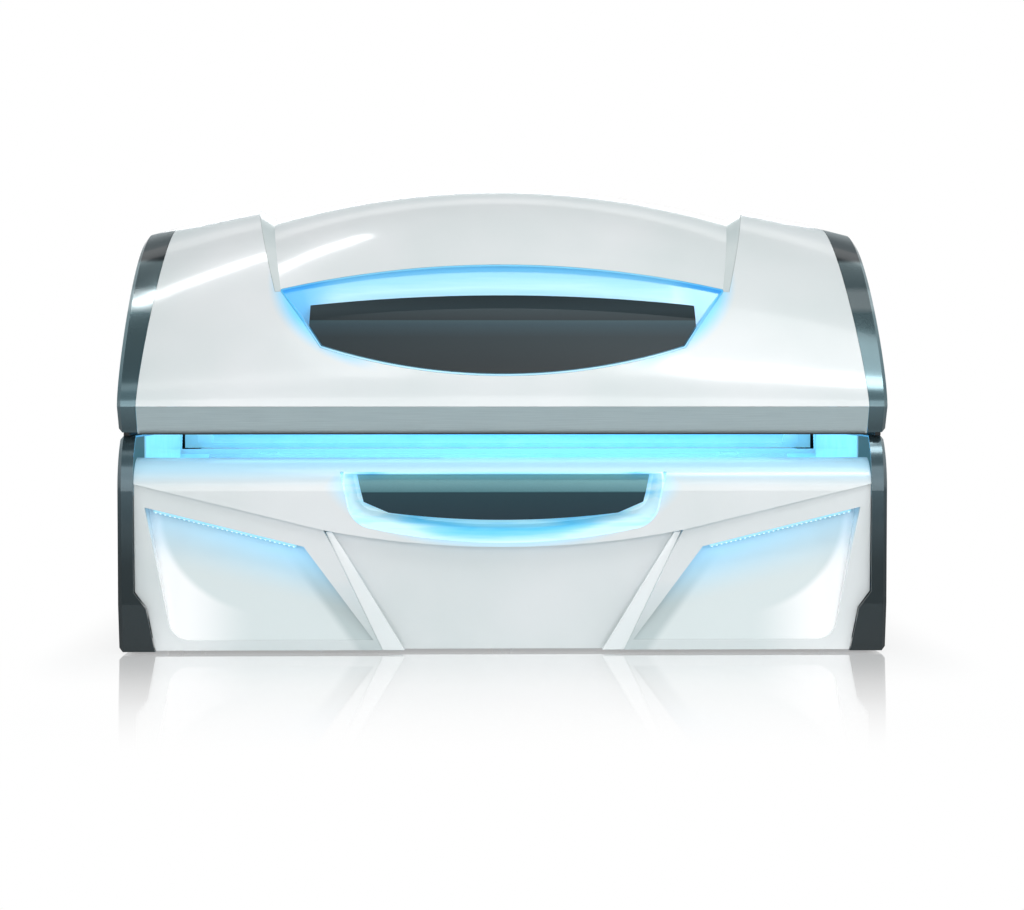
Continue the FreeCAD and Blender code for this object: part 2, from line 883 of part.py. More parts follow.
def capOutline(x, inset):
    """The canopy's side view: rail lip, front, ridge, rear edge and the slanting bottom."""
    height = hullArch(HALF) if inset else hullArch(x)
    front = FRONT_Y + inset
    rear = REAR_Y - inset
    lipY = FRONT_Y + size.lipSetback + inset
    lipZ = size.lipHeight + size.capBottomGap + inset
    edges = [Part.makeLine(Vector(x, lipY, lipZ), Vector(x, front, size.creaseHeight)),
             bezierEdge(x, frontPoles(height, inset))]
    path = rearFolds(height, inset)[:-1] + [(rear, size.rearEdgeHeight + inset), (lipY, lipZ)]
    return Part.Wire(edges + chain(x, path))


def makeCanopyCap():
    """Rim over the ends of the shells and a side plate with a bevelled edge, at +X."""
    reach = HALF - size.capEdgeChamfer
    rim = hull.cut(shellZone(size.seam / 2)).common(blockOf((0, -FAR, 0), (FAR, FAR, FAR)))
    plate = Part.makeLoft([capOutline(reach, 0), capOutline(HALF, size.capEdgeChamfer)], True, True)
    hollow = size.capWall + size.capEdgeChamfer
    pit = Part.Face(capOutline(reach, hollow)).extrude(Vector(size.capEdgeChamfer - size.capWall, 0, 0))
    lipWidth = size.capStripBottom - size.seam / 2 - size.capEdgeChamfer
    lipStart = Vector(reach - lipWidth, 0, 0)
    lip = Part.makeLoft([lipSection(lipStart.x), lipSection(reach)], True, True)
    return rim.fuse([plate.cut(pit), lip]).removeSplitter()


def lipSection(x, wall=None):
    """The slanting face below the crease, as a strip."""
    wall = wall or size.hullWall
    low = (FRONT_Y + size.lipSetback, size.lipHeight + size.capBottomGap)
    high = (FRONT_Y, size.creaseHeight)
    path = [low, high, (high[0] + wall, high[1]), (low[0] + wall, low[1])]
    return wireOf([Vector(x, y, z) for y, z in path])


capRight = makeCanopyCap()
addShape("canopy_end_cap_right", capRight)
addShape("canopy_end_cap_left", mirrored(capRight))


# ---- recess, badge plate and rail on the canopy's front -------------------------------------------

PLANE_FOOT_Y = frontAt(size.recessBottomHeight, size.closedHeight) + size.recessDepthBottom


def planeSlope():
    """Lean of the light band's face: behind the recess's upper corners and its arched top alike."""
    slopes = []
    for height, arch in ((size.recessCornerHeight, crownArch(size.recessHalfTop)),
                         (size.recessTopHeight, size.closedHeight)):
        depth = frontAt(height, arch) + size.recessDepthTop
        slopes.append((depth - PLANE_FOOT_Y) / (height - size.recessBottomHeight))
    return max(slopes)


PLANE_SLOPE = planeSlope()


def recessPlaneY(z):
    """Depth of the light band's flat face at a height."""
    return PLANE_FOOT_Y + (z - size.recessBottomHeight) * PLANE_SLOPE


def planeSlab(frontGap, rearGap, low, high):
    """Between two planes parallel to the light band, through the whole length of the bed."""
    profile = [(recessPlaneY(low) + frontGap, low), (recessPlaneY(high) + frontGap, high),
               (recessPlaneY(high) + rearGap, high), (recessPlaneY(low) + rearGap, low)]
    wire = wireOf([Vector(-HALF, y, z) for y, z in profile])
    return Part.Face(wire).extrude(Vector(2 * HALF, 0, 0))


def makeRecessFrame():
    """The rim that lines the opening from the shells back to the light band."""
    rim = recessZone(size.recessRimWall).cut(recessZone(0))
    depth = planeSlab(-FAR / 4, 0, size.lipHeight, size.closedHeight)
    split = size.crownFrontHeight + 4 * size.seam
    floor = blockOf((-FAR, -FAR, 0), (FAR, FAR, split))
    crownCore = Part.makeLoft([crownSection(y, size.lipHeight) for y in crownFront()], True, False)
    lower = rim.common(depth).common(hullCore).common(floor)
    upper = rim.common(depth).common(crownCore).cut(floor)
    return lower.fuse(upper).removeSplitter()


addShape("canopy_recess_frame", makeRecessFrame())
bandZone = recessZone(size.recessRimWall)
bandSlab = planeSlab(0, size.bandWall, size.lipHeight, size.closedHeight)
addShape("canopy_light_band", bandZone.common(bandSlab))


def smile(x, half, edge, middle):
    """Height of a circular arc that is middle at x = 0 and edge at half."""
    rise = edge - middle
    radius = (half ** 2 + rise ** 2) / (2 * abs(rise))
    drop = radius - math.sqrt(radius ** 2 - x ** 2)
    return middle + math.copysign(drop, rise)


def badgeSection(x, inset):
    """Curved face up to a crease, a short face leaning back, and the flat back on the light band."""
    top = smile(x, size.badgeHalfTop, size.badgeCornerHeight, size.badgeTopHeight) - inset
    low = size.recessBottomHeight
    crease = top - size.badgeCreaseDrop
    sink = size.badgeSink + inset
    heights = (low, (low + crease) / 2, crease)
    face = [Vector(x, frontAt(z, hullArch(x)) + sink, z) for z in heights]
    edges = [Part.Arc(face[0], face[1], face[2]).toShape()]
    crest = Vector(x, face[2].y + size.badgeCreaseDrop, top)
    path = [face[2], crest, Vector(x, recessPlaneY(top) - inset, top),
            Vector(x, recessPlaneY(low) - inset, low), face[0]]
    return Part.Wire(edges + [Part.makeLine(a, b) for a, b in zip(path, path[1:])])


def makeBadge():
    reach = size.badgeHalfTop
    block = Part.makeLoft([badgeSection(s * reach, 0) for s in STATIONS], True, False)
    inside = reach - size.badgeWall
    core = Part.makeLoft([badgeSection(s * inside, size.badgeWall) for s in STATIONS], True, False)
    core.translate(Vector(0, 2 * size.badgeWall, 0))
    trim = recessZone(-size.badgeGap)
    innerTrim = recessZone(-size.badgeGap - size.badgeWall)
    return block.common(trim).cut(core.common(innerTrim))


addShape("canopy_badge_panel", makeBadge())


def makeRail():
    """Channel along the lip: slanting face, returned at the top and the bottom."""
    reach = capLine(size.creaseHeight) - size.seam
    wall = size.railInset
    low = (FRONT_Y + size.lipSetback, size.lipHeight)
    high = (FRONT_Y + size.seam, size.creaseHeight - size.seam)
    back = low[0] + size.hoopTube
    profile = [low, high, (back, high[1]), (back, high[1] - wall), (high[0] + wall, high[1] - wall),
               (low[0] + wall, low[1] + wall), (back, low[1] + wall), (back, low[1])]
    face = Part.Face(wireOf([Vector(-reach, y, z) for y, z in profile]))
    return face.extrude(Vector(2 * reach, 0, 0))


addShape("canopy_front_rail", makeRail())


# ---- tunnel of the canopy: acrylic, tubes, reflector -----------------------------------------------

ARCH = (size.archCentreY, size.archCentreZ)


def archSheet(inner, outer, left, right, lowAngle=size.archRearAngle, highAngle=size.archFrontAngle):
    return ringSector(inner, outer, ARCH, lowAngle, highAngle, left, right)


def faceOpening(grow):
    """The hole that the face tanner takes in the acrylic above the user's head."""
    return blockOf((size.faceLeft - grow, size.archCentreY - size.faceHalfWidth - grow, size.archCentreZ),
                   (size.faceRight + grow, size.archCentreY + size.faceHalfWidth + grow, size.faceTop))


def podOpening(grow):
    return blockOf((size.podLeft - grow, size.archCentreY - size.podHalfWidth - grow, size.archCentreZ),
                   (size.podRight + grow, size.archCentreY + size.podHalfWidth + grow, size.podTop))


acrylic = archSheet(size.archRadius - size.acrylicWall, size.archRadius, -size.acrylicHalf, size.acrylicHalf)
addShape("canopy_acrylic", acrylic.cut(faceOpening(size.restGap)).cut(podOpening(size.restGap)))

reflectorIn = size.canopyLampCircleRadius + size.holderWidth / 2
reflectorHalf = size.lampHalf + size.holderLength
lampLow = size.canopyLampFirstAngle - size.canopyLampStepAngle / 2
lampHigh = size.canopyLampFirstAngle + size.canopyLampStepAngle * (size.canopyLampCount - 0.5)
reflector = archSheet(reflectorIn, reflectorIn + size.sheetWall, -reflectorHalf, reflectorHalf,
                      lampLow, lampHigh)
addShape("canopy_reflector", reflector.cut(faceOpening(size.restGap)))


def ringOfCorners(radius, sides, x, y, z):
    """Corners of a regular polygon across X."""
    return [Vector(x, *onRing(radius, FULL_TURN * k / sides, (y, z))) for k in range(int(sides))]


def lampTube(left, right, y, z):
    """A fluorescent tube's glass, with flats in place of the round."""
    outer, inner = [wireOf(ringOfCorners(radius, size.lampSides, left, y, z))
                    for radius in (size.lampRadius, size.lampRadius - size.lampWall)]
    glass = Part.makeFace([outer, inner], "Part::FaceMakerBullseye")
    return glass.extrude(Vector(right - left, 0, 0))


def canopyLamps():
    """Long tubes round the arch; those over the face start beside the face tanner."""
    lamps = []
    clear = size.faceHalfWidth + size.lampRadius
    for index in range(int(size.canopyLampCount)):
        angle = size.canopyLampFirstAngle + index * size.canopyLampStepAngle
        y, z = onRing(size.canopyLampCircleRadius, angle, ARCH)
        overFace = abs(y - size.archCentreY) < clear and z > size.archCentreZ
        start = size.faceRight + size.holderLength if overFace else -size.lampHalf
        lamps.append(lampTube(start, size.lampHalf, y, z))
    return Part.makeCompound(lamps)


addShape("canopy_lamps", canopyLamps())


def canopyHolders():
    """Moulded strips that carry the tubes' ends, and a short one beside the face tanner."""
    inner = reflectorIn - size.holderWidth
    strips = [archSheet(inner, reflectorIn, side * size.lampHalf - (size.holderLength if side < 0 else 0),
                        side * size.lampHalf + (size.holderLength if side > 0 else 0), lampLow, lampHigh)
              for side in SIDES.values()]
    strips[0] = strips[0].cut(faceOpening(size.restGap))
    half = math.degrees(math.asin((size.faceHalfWidth + size.faceWall) / size.canopyLampCircleRadius))
    strips.append(archSheet(inner, reflectorIn, size.faceRight + size.restGap,
                            size.faceRight + size.holderLength, UPWARD - half, UPWARD + half))
    return Part.makeCompound(strips)


addShape("canopy_lampholders", canopyHolders())


def canopyLiners():
    """The arch carried on from the acrylic to the end caps, notched over the hinge and the strut."""
    start = size.acrylicHalf + size.seam
    end = HALF - size.capEdgeChamfer - size.seam
    sheet = archSheet(size.archRadius - size.linerWall, size.archRadius, start, end)
    notch = blockOf((size.hingeX - size.hingePlate, size.archCentreY, 0),
                    (FAR, FAR, size.strutTopZ + size.linerNotch))
    right = sheet.cut(notch)
    return Part.makeCompound([right, mirrored(right)])


addShape("canopy_end_liners", canopyLiners())


# ---- canopy frame and hinge ------------------------------------------------------------------------

def hoopForm():
    """Height and depth of the front tube, and the centre and radius of the hoop from it to the rear."""
    frontZ = size.creaseHeight - size.hoopTube * 3 / 2
    frontY = FRONT_Y + size.hoopFrontInset
    frontRise = frontZ - size.hoopCentreZ
    rearRise = size.rearTubeHeight - size.hoopCentreZ
    centreY = ((size.hingeY ** 2 + rearRise ** 2 - frontY ** 2 - frontRise ** 2)
               / (2 * (size.hingeY - frontY)))
    return frontY, frontZ, centreY, math.hypot(size.hingeY - centreY, rearRise)


def canopyFrameBars(inset):
    """Two rolled hoops and the front, top and rear tubes, at one depth in their walls."""
    half = size.hoopTube / 2 - inset
    rearHalf = size.rearTube / 2 - inset
    frontY, frontZ, centreY, radius = hoopForm()
    rearTurn = math.degrees(math.asin((size.rearTubeHeight - size.hoopCentreZ) / radius))
    frontTurn = 2 * UPWARD - math.degrees(math.asin((frontZ - size.hoopCentreZ) / radius))
    bars = []
    for side in SIDES.values():
        middle = side * (size.hoopX - size.hoopTube / 4)
        bars.append(ringSector(radius - half, radius + half, (centreY, size.hoopCentreZ),
                               rearTurn, frontTurn, middle - half, middle + half))
    arm = size.hingeX - size.hingePlate / 2
    topZ = size.hoopCentreZ + radius
    for reach, y, z, grip in ((size.hoopX, frontY, frontZ, half), (size.hoopX, centreY, topZ, half),
                              (arm, size.hingeY, size.rearTubeHeight, rearHalf)):
        end = reach + inset
        bars.append(blockOf((-end, y - grip, z - grip), (end, y + grip, z + grip)))
    return bars[0].fuse(bars[1:])


def canopyFrame():
    return canopyFrameBars(0).cut(canopyFrameBars(size.tubeWall)).removeSplitter()


addShape("canopy_frame", canopyFrame())


def platePad(name, outline, holes, start, thickness):
    """A flat plate across X, drawn in Y and Z, with round holes as (y, z, radius) expressions."""
    body = doc.addObject("PartDesign::Body", name)
    sketch = addSketch(body, name + "Outline", "YZ_Plane", [outline], start)
    for y, z, radius in holes:
        addHole(sketch, y, z, radius)
    addPad(body, name + "Plate", sketch, thickness)
    return body


def addHole(sketch, across, up, radius):
    centre = Vector(number(across), number(up))
    ring = sketch.addGeometry(Part.Circle(centre, Z_AXIS, number(radius)))
    constraints = (("DistanceX", -1, 1, ring, 3, across), ("DistanceY", -1, 1, ring, 3, up))
    for kind, origin, point, geometry, spot, text in constraints:
        place = sketch.addConstraint(Sketcher.Constraint(kind, origin, point, geometry, spot, number(text)))
        sketch.setExpression(f"Constraints[{place}]", linked(text))
    place = sketch.addConstraint(Sketcher.Constraint("Radius", ring, number(radius)))
    sketch.setExpression(f"Constraints[{place}]", linked(radius))


def plateStart(side, middle, thickness):
    """Left edge of a plate that is centred on a distance from the middle of the bed."""
    sign = "-" if side < 0 else ""
    return f"{sign}({middle}) - ({thickness}) / 2"


# crank from the hinge pin to the canopy's rear tube and the strut's stud
crankOutline = [("hingeY - hingeEye", "hingeZ", "hingeEye"),
                ("hingeY + hingeEye", "hingeZ"),
                ("hingeY + rearTube / 2", "rearTubeHeight + rearTube / 2"),
                ("hingeY - rearTube / 2", "rearTubeHeight + rearTube / 2"),
                ("strutTopY - strutEyeRadius", "strutTopZ + strutEyeRadius"),
                ("strutTopY - strutEyeRadius", "strutTopZ - strutEyeRadius")]
cranks = [platePad(f"Crank{name}", crankOutline, [("hingeY", "hingeZ", "hingePinRadius + runningGap")],
                   plateStart(side, "hingeX", "hingePlate"), "hingePlate")
          for name, side in SIDES.items()]
studFrom = "hingeX + hingePlate / 2"
studReach = "strutX + strutEyeWidth / 2 + tubeWall - (hingeX + hingePlate / 2)"
upperStuds = [addCylinder("UpperStudLeft", "strutStudRadius", studReach,
                          (f"-({studFrom}) - ({studReach})", "strutTopY", "strutTopZ"), X_AXIS),
              addCylinder("UpperStudRight", "strutStudRadius", studReach,
                          (studFrom, "strutTopY", "strutTopZ"), X_AXIS)]
crankPairs = [addFuse(f"CrankWith{stud.Name}", [crank, stud]) for crank, stud in zip(cranks, upperStuds)]
subPart(addGroup("canopy_hinge_cranks", crankPairs), "canopy_hinge_cranks")

# brackets on the bench's rear rail, two beside each crank, and the pins through them
bracketOutline = [("hingeY - hingeEye", "hingeZ"),
                  ("frameRailY - frameTube / 2", "rearRailTop"),
                  ("frameRailY + frameTube / 2", "rearRailTop"),
                  ("hingeY + hingeEye", "hingeZ", "hingeEye")]
bracketMiddle = "hingePlate / 2 + bracketGap + bracketPlate / 2"
pinHalf = "hingePlate / 2 + bracketGap + bracketPlate + tubeWall"
brackets = []
for name, side in SIDES.items():
    pieces = [addCylinder(f"HingePin{name}", "hingePinRadius", f"2 * ({pinHalf})",
                          (f"{side} * hingeX - ({pinHalf})", "hingeY", "hingeZ"), X_AXIS)]
    for place, sign in (("Inner", "-"), ("Outer", "+")):
        pieces.append(platePad(f"Bracket{place}{name}", bracketOutline, [],
                               plateStart(side, f"hingeX {sign} ({bracketMiddle})", "bracketPlate"),
                               "bracketPlate"))
    brackets.append(addFuse(f"HingeBracket{name}", pieces))
subPart(addGroup("hinge_brackets", brackets), "hinge_brackets")


# ---- gas struts ------------------------------------------------------------------------------------

STRUT_FOOT = Vector(0, size.strutBaseY, size.strutBaseZ)
STRUT_WAY = Vector(0, size.strutTopY, size.strutTopZ) - STRUT_FOOT
STRUT_LENGTH = STRUT_WAY.Length
STRUT_WAY.normalize()


def strutEye(centre, hole):
    left = Vector(-size.strutEyeWidth / 2, 0, 0)
    ring = Part.makeCylinder(size.strutEyeRadius, size.strutEyeWidth, centre + left, X_AXIS)
    return ring, Part.makeCylinder(hole, size.strutEyeWidth, centre + left, X_AXIS)


def strutTube():
    """Cylinder with a foot eye on its stud and a bore for the rod."""
    ring, hole = strutEye(STRUT_FOOT, size.strutStudRadius + size.runningGap)
    start = STRUT_FOOT + STRUT_WAY * (size.strutStudRadius + size.tubeWall)
    length = size.strutTubeLength - (start - STRUT_FOOT).Length
    tube = Part.makeCylinder(size.strutTubeRadius, length, start, STRUT_WAY)
    bore = Part.makeCylinder(size.strutRodRadius + size.runningGap,
                             size.strutTubeLength - size.strutBoreStart,
                             STRUT_FOOT + STRUT_WAY * size.strutBoreStart, STRUT_WAY)
    return tube.fuse(ring).cut(hole).cut(bore)


def strutRod():
    """Rod with an eye that is wide enough for the play of the opened pivot."""
    top = STRUT_FOOT + STRUT_WAY * STRUT_LENGTH
    ring, hole = strutEye(top, size.strutStudRadius + size.strutEyePlay)
    length = STRUT_LENGTH - size.strutRodStart - size.strutStudRadius - size.strutEyePlay
    start = STRUT_FOOT + STRUT_WAY * size.strutRodStart
    rod = Part.makeCylinder(size.strutRodRadius, length, start, STRUT_WAY)
    return rod.fuse(ring).cut(hole)


for name, side in SIDES.items():
    for label, shape in ((f"strut_tube_{name}", strutTube()), (f"strut_rod_{name}", strutRod())):
        shape.translate(Vector(side * size.strutX, 0, 0))
        addShape(label, shape)

# plates on the frame's outer cross tubes with the studs that the struts stand on
plateWall = "bracketPlate"
strutPlates = []
for name, side in SIDES.items():
    plate = addBox(f"StrutPlate{name}",
                   (plateWall, "2 * hingeEye", "strutBaseZ + strutEyeRadius - frameBottom"),
                   (f"{side} * (frameHalf + {plateWall} / 2) - {plateWall} / 2",
                    "strutBaseY - hingeEye", "frameBottom"))
    reach = f"(strutX + strutEyeWidth / 2 + tubeWall - frameHalf - {plateWall})"
    stud = addCylinder(f"LowerStud{name}", "strutStudRadius", reach,
                       (f"{side} * (frameHalf + {plateWall} + {reach} / 2) - {reach} / 2",
                        "strutBaseY", "strutBaseZ"), X_AXIS)
    strutPlates += [plate, stud]


# ---- bench frame and feet --------------------------------------------------------------------------

def squareTube(name, corner, lengths, axis):
    """Outer bar and the hollow inside it, which runs on through the wall of the tube it meets."""
    wall = "tubeWall"
    hollowLengths = [f"{text} + 2 * {wall}" if k == axis else f"{text} - 2 * {wall}"
                     for k, text in enumerate(lengths)]
    hollowCorner = [f"{text} - {wall}" if k == axis else f"{text} + {wall}"
                    for k, text in enumerate(corner)]
    return addBox(name, lengths, corner), addBox(name + "Hollow", hollowLengths, hollowCorner)


def benchFrame():
    tube = "frameTube"
    low = "frameBottom"
    rearHalf = "(hingeX + bracketGap + bracketPlate + frameTube / 2)"
    railLength = "2 * frameHalf"
    tubes = []
    for place, sign, top in (("Front", "-", "frontRailTop"), ("Rear", "", "rearRailTop")):
        y = f"{sign}frameRailY - {tube} / 2"
        half = rearHalf if place == "Rear" else "frameHalf"
        tubes.append(squareTube(f"{place}Sill", ("-frameHalf", y, low), (railLength, tube, tube), 0))
        tubes.append(squareTube(f"{place}Rail", (f"-{half}", y, f"{top} - {tube}"),
                                (f"2 * {half}", tube, tube), 0))
        for name, x in (("Left", "-frameHalf"), ("Right", f"frameHalf - {tube}")):
            tubes.append(squareTube(f"{place}Post{name}", (x, y, f"{low} + {tube}"),
                                    (tube, tube, f"{top} - 2 * {tube} - {low}"), 2))
    for name, x in (("Left", "-frameHalf"), ("Middle", f"-{tube} / 2"), ("Right", f"frameHalf - {tube}")):
        tubes.append(squareTube(f"Cross{name}", (x, f"-frameRailY + {tube} / 2", low),
                                (tube, f"2 * frameRailY - {tube}", tube), 1))
    outside = addFuse("BenchFrameOutside", [pair[0] for pair in tubes])
    inside = addFuse("BenchFrameInside", [pair[1] for pair in tubes])
    tubing = addCut("BenchFrameTubes", outside, inside)
    return addFuse("bench_frame", [tubing] + strutPlates + [benchBulkheads()])


BULKHEAD_X = size.frameHalf - size.frameTube


def benchBulkheads():
    """Steel plates on the outer cross tubes that carry the tube holders and the acrylic's ends."""
    low = size.frameBottom + size.frameTube
    reach = size.benchRadius + size.benchAcrylicWall + size.restGap
    front, rear = size.benchFrontY + size.tubeWall, size.benchRearY - size.tubeWall
    plate = blockOf((BULKHEAD_X, front, low), (BULKHEAD_X + size.tubeWall, rear, size.benchCentreZ))
    arc = Part.makeCylinder(reach, size.frameTube,
                            Vector(BULKHEAD_X - size.tubeWall, size.benchCentreY, size.benchCentreZ), X_AXIS)
    edge = min(plate.cut(arc).Solids, key=lambda solid: solid.BoundBox.ZMin)
    item = doc.addObject("Part::Feature", "Bulkheads")
    item.Shape = Part.makeCompound([edge, mirrored(edge)])
    return item


subPart(benchFrame(), "bench_frame")


def levellingFeet():
    feet = []
    places = {"Left": "-frameHalf + frameTube", "Middle": "0", "Right": "frameHalf - frameTube"}
    for row, y in (("Front", "-frameRailY"), ("Rear", "frameRailY")):
        for name, x in places.items():
            disc = addPrism(f"Foot{row}{name}", "footRadius", "footHeight", (x, y, "0"))
            stud = addPrism(f"FootStud{row}{name}", "footStud", "frameBottom - footHeight",
                            (x, y, "footHeight"))
            feet.append(addFuse(f"LevellingFoot{row}{name}", [disc, stud]))
    return addGroup("levelling_feet", feet)


subPart(levellingFeet(), "levelling_feet")


# ---- bench: end caps -------------------------------------------------------------------------------

def benchCapOutline(x, inset):
    """Side view of the bench's dark end cap: toe, upright front, curl towards the canopy, rear."""
    front = FRONT_Y + inset
    rear = size.benchCapRearY - inset
    top = size.benchCapTop - inset
    low = size.skirtBottom + inset
    curlTop = size.benchCapTopFrontY + inset
    path = [(rear, size.benchCapRearTop), (rear, low), (size.toeY + inset, low),
            (front, size.toeHeight), (front, size.curlHeight)]
    curl = bendEdge(x, (front, size.curlHeight), (front, top - size.benchCapCurl), (curlTop, top))
    shoulder = bendEdge(x, (size.benchCapTopRearY - inset, top), (rear, top), (rear, size.benchCapRearTop))
    lid = chain(x, [(curlTop, top), (size.benchCapTopRearY - inset, top)])
    return Part.Wire(chain(x, path) + [curl] + lid + [shoulder])


def bendEdge(x, start, corner, end):
    """A round corner between two straight runs."""
    curve = Part.BezierCurve()
    curve.setPoles([Vector(x, y, z) for y, z in (start, corner, end)])
    return curve.toShape()


def makeBenchCap():
    """An open pan on its side: bevelled outer edge, strip round the front, flare down to the foot."""
    inner = HALF - size.capStripWidth
    reach = HALF - size.capEdgeChamfer
    strip = Part.Face(benchCapOutline(inner, 0)).extrude(Vector(reach - inner, 0, 0))
    side = Part.makeLoft([benchCapOutline(reach, 0), benchCapOutline(HALF, size.capEdgeChamfer)], True, True)
    pit = Part.Face(benchCapOutline(inner, size.capWall)).extrude(Vector(reach - inner, 0, 0))
    deepInset = size.capWall + size.capEdgeChamfer
    deep = Part.Face(benchCapOutline(reach, deepInset))
    deepPit = deep.extrude(Vector(size.capEdgeChamfer - size.capWall, 0, 0))
    knee = inner - size.flareKneeWidth
    foot = inner - size.flareFootWidth
    zone = prismAlongY([(inner, size.skirtBottom), (inner, size.flareTop), (knee, size.flareKnee),
                        (foot, size.skirtBottom)])
    run = Part.Face(benchCapOutline(foot, 0)).extrude(Vector(inner - foot, 0, 0))
    hollow = Part.Face(benchCapOutline(foot, size.capWall)).extrude(Vector(inner - foot, 0, 0))
    flareDepth = blockOf((0, -FAR, 0), (FAR, size.noseY, FAR))
    flare = run.cut(hollow).common(zone).common(flareDepth)
    slot = blockOf((inner, size.strutSlotY - size.strutSlot / 2, size.benchCapTop - 2 * size.capWall),
                   (size.strutX + size.strutEyeWidth, size.strutSlotY + size.strutSlot / 2, FAR))
    return strip.fuse([side, flare]).cut(pit).cut(deepPit).cut(slot).removeSplitter()


benchCapRight = makeBenchCap()
addShape("bench_end_cap_right", benchCapRight)
addShape("bench_end_cap_left", mirrored(benchCapRight))


# ---- bench: front mouldings ------------------------------------------------------------------------

PANEL_HALF = HALF - size.capStripWidth - size.seam
SEAM_SLOPE = (size.seamOuterHeight - size.seamKneeHeight) / (PANEL_HALF - size.seamKneeHalf)


def seamHeight(x):
    return size.seamKneeHeight + (x - size.seamKneeHalf) * SEAM_SLOPE


def curlPoint(share, inset):
    """A point on the round nose: 0 at its foot, 1 at its tip."""
    run, rise = size.noseY - size.trimFaceY, size.noseZ - size.curlHeight
    radius = (run ** 2 + rise ** 2) / (2 * run)
    turn = share * math.atan2(rise, radius - run)
    return (size.trimFaceY + radius - (radius - inset) * math.cos(turn),
            size.curlHeight + (radius - inset) * math.sin(turn))


def trimEdges(inset, low):
    """Front face, curl over the nose and ledge towards the acrylic, at one depth in the wall."""
    front = size.trimFaceY + inset
    face = chain(-PANEL_HALF, [(front, low), (front, size.curlHeight)])
    nose = Part.Arc(*[Vector(-PANEL_HALF, *curlPoint(share, inset)) for share in (0, 0.5, 1)])
    ledge = chain(-PANEL_HALF, [curlPoint(1, inset), (size.ledgeY, size.ledgeZ - inset)])
    return face + [nose.toShape()] + ledge


def extruded(edges):
    return Part.Face(Part.Wire(Part.__sortEdges__(edges))).extrude(Vector(2 * PANEL_HALF, 0, 0))


def trimCore():
    """The space behind the trim's outer face."""
    low = size.seamMiddleHeight - size.trimWall
    close = chain(-PANEL_HALF, [(size.ledgeY, size.ledgeZ), (size.ledgeY, low), (size.trimFaceY, low)])
    return extruded(trimEdges(0, low) + close)


def belowSeam():
    """Everything under the line that runs in from the ends and dips in the middle."""
    edge = HALF + size.capStripWidth
    outline = [(-size.seamKneeHalf, size.seamKneeHeight), (size.seamKneeHalf, size.seamKneeHeight),
               (edge, seamHeight(edge)), (edge, 0), (-edge, 0), (-edge, seamHeight(edge))]
    return prismAlongY(outline, {0: (0, size.seamMiddleHeight)})


def dishWire(y, grow):
    outline = [(-size.dishHalfTop, size.dishTopHeight), (size.dishHalfTop, size.dishTopHeight),
               (size.dishCornerHalf, size.dishCornerHeight), (size.dishKneeHalf, size.dishKneeHeight),
               (-size.dishKneeHalf, size.dishKneeHeight), (-size.dishCornerHalf, size.dishCornerHeight)]
    cornerX = (size.dishCornerHalf + size.dishKneeHalf) / 2 + size.dishWall * 3
    cornerZ = (size.dishCornerHeight + size.dishKneeHeight) / 2 - size.dishWall * 2
    bulges = {2: (cornerX, cornerZ), 3: (0, size.dishBottomHeight), 4: (-cornerX, cornerZ)}
    wire = wireOf([Vector(x, y, z) for x, z in outline],
                  {k: Vector(x, y, z) for k, (x, z) in bulges.items()})
    return wire.makeOffset2D(grow) if grow else wire


def makeTrim():
    low = size.seamMiddleHeight - size.trimWall
    wall = size.trimWall
    close = chain(-PANEL_HALF, [(size.trimFaceY, low), (size.trimFaceY + wall, low)])
    close += chain(-PANEL_HALF, [(size.ledgeY, size.ledgeZ), (size.ledgeY, size.ledgeZ - wall)])
    sheetMetal = extruded(trimEdges(0, low) + trimEdges(wall, low) + close)
    opening = Part.Face(dishWire(-FAR / 2, 0)).extrude(Vector(0, FAR, 0))
    return sheetMetal.cut(belowSeam()).cut(opening)


addShape("bench_front_trim", makeTrim())


def makeDish():
    """Tray of translucent plastic that lines the opening in the trim and glows round the plate."""
    front = size.trimFaceY
    back = front + size.dishDepth
    wall = size.dishWall
    outer = [dishWire(front, -size.restGap), dishWire(back + wall, -size.dishTaper)]
    inner = [dishWire(front, -size.restGap - wall), dishWire(back, -size.dishTaper - wall)]
    for pair in (outer, inner):
        pair[1].translate(Vector(0, 0, size.dishTaper))
    tray = Part.makeLoft(outer, True, True)
    hollow = Part.makeLoft(inner, True, True)
    return tray.cut(hollow).common(trimCore())


addShape("bench_light_dish", makeDish())


def makeBenchPlate():
    """Dark plate in the dish: two faces that meet in a level crease."""
    back = size.trimFaceY + size.dishDepth
    profile = [(back, size.plateBottomHeight), (size.plateBottomY, size.plateBottomHeight),
               (size.plateCreaseY, size.plateCreaseHeight), (size.plateTopY, size.plateTopHeight),
               (back, size.plateTopHeight)]
    bar = Part.Face(wireOf([Vector(-HALF, y, z) for y, z in profile])).extrude(Vector(2 * HALF, 0, 0))
    outline = [(-size.plateHalfTop, size.plateTopHeight), (size.plateHalfTop, size.plateTopHeight),
               (size.plateCornerHalf, size.plateCornerHeight), (size.plateKneeHalf, size.plateKneeHeight),
               (-size.plateKneeHalf, size.plateKneeHeight), (-size.plateCornerHalf, size.plateCornerHeight)]
    return bar.common(prismAlongY(outline, {3: (0, size.plateBottomHeight)}))


addShape("bench_badge_panel", makeBenchPlate())


def wingY(z):
    """Depth of the wing panels' face, which leans back towards the floor."""
    return line(z, size.panelFoot, size.wingFootY, size.wingTopHeight, size.wingTopY)


def coverY(z):
    return line(z, size.panelFoot, size.coverFootY, size.coverTopHeight, size.coverTopY)


def leaningSlab(faceY, low, high, wall):
    """A slab behind a leaning face, through the whole length of the bed."""
    profile = [(faceY(low), low), (faceY(high), high), (faceY(high) + wall, high), (faceY(low) + wall, low)]
    return Part.Face(wireOf([Vector(-HALF, y, z) for y, z in profile])).extrude(Vector(2 * HALF, 0, 0))


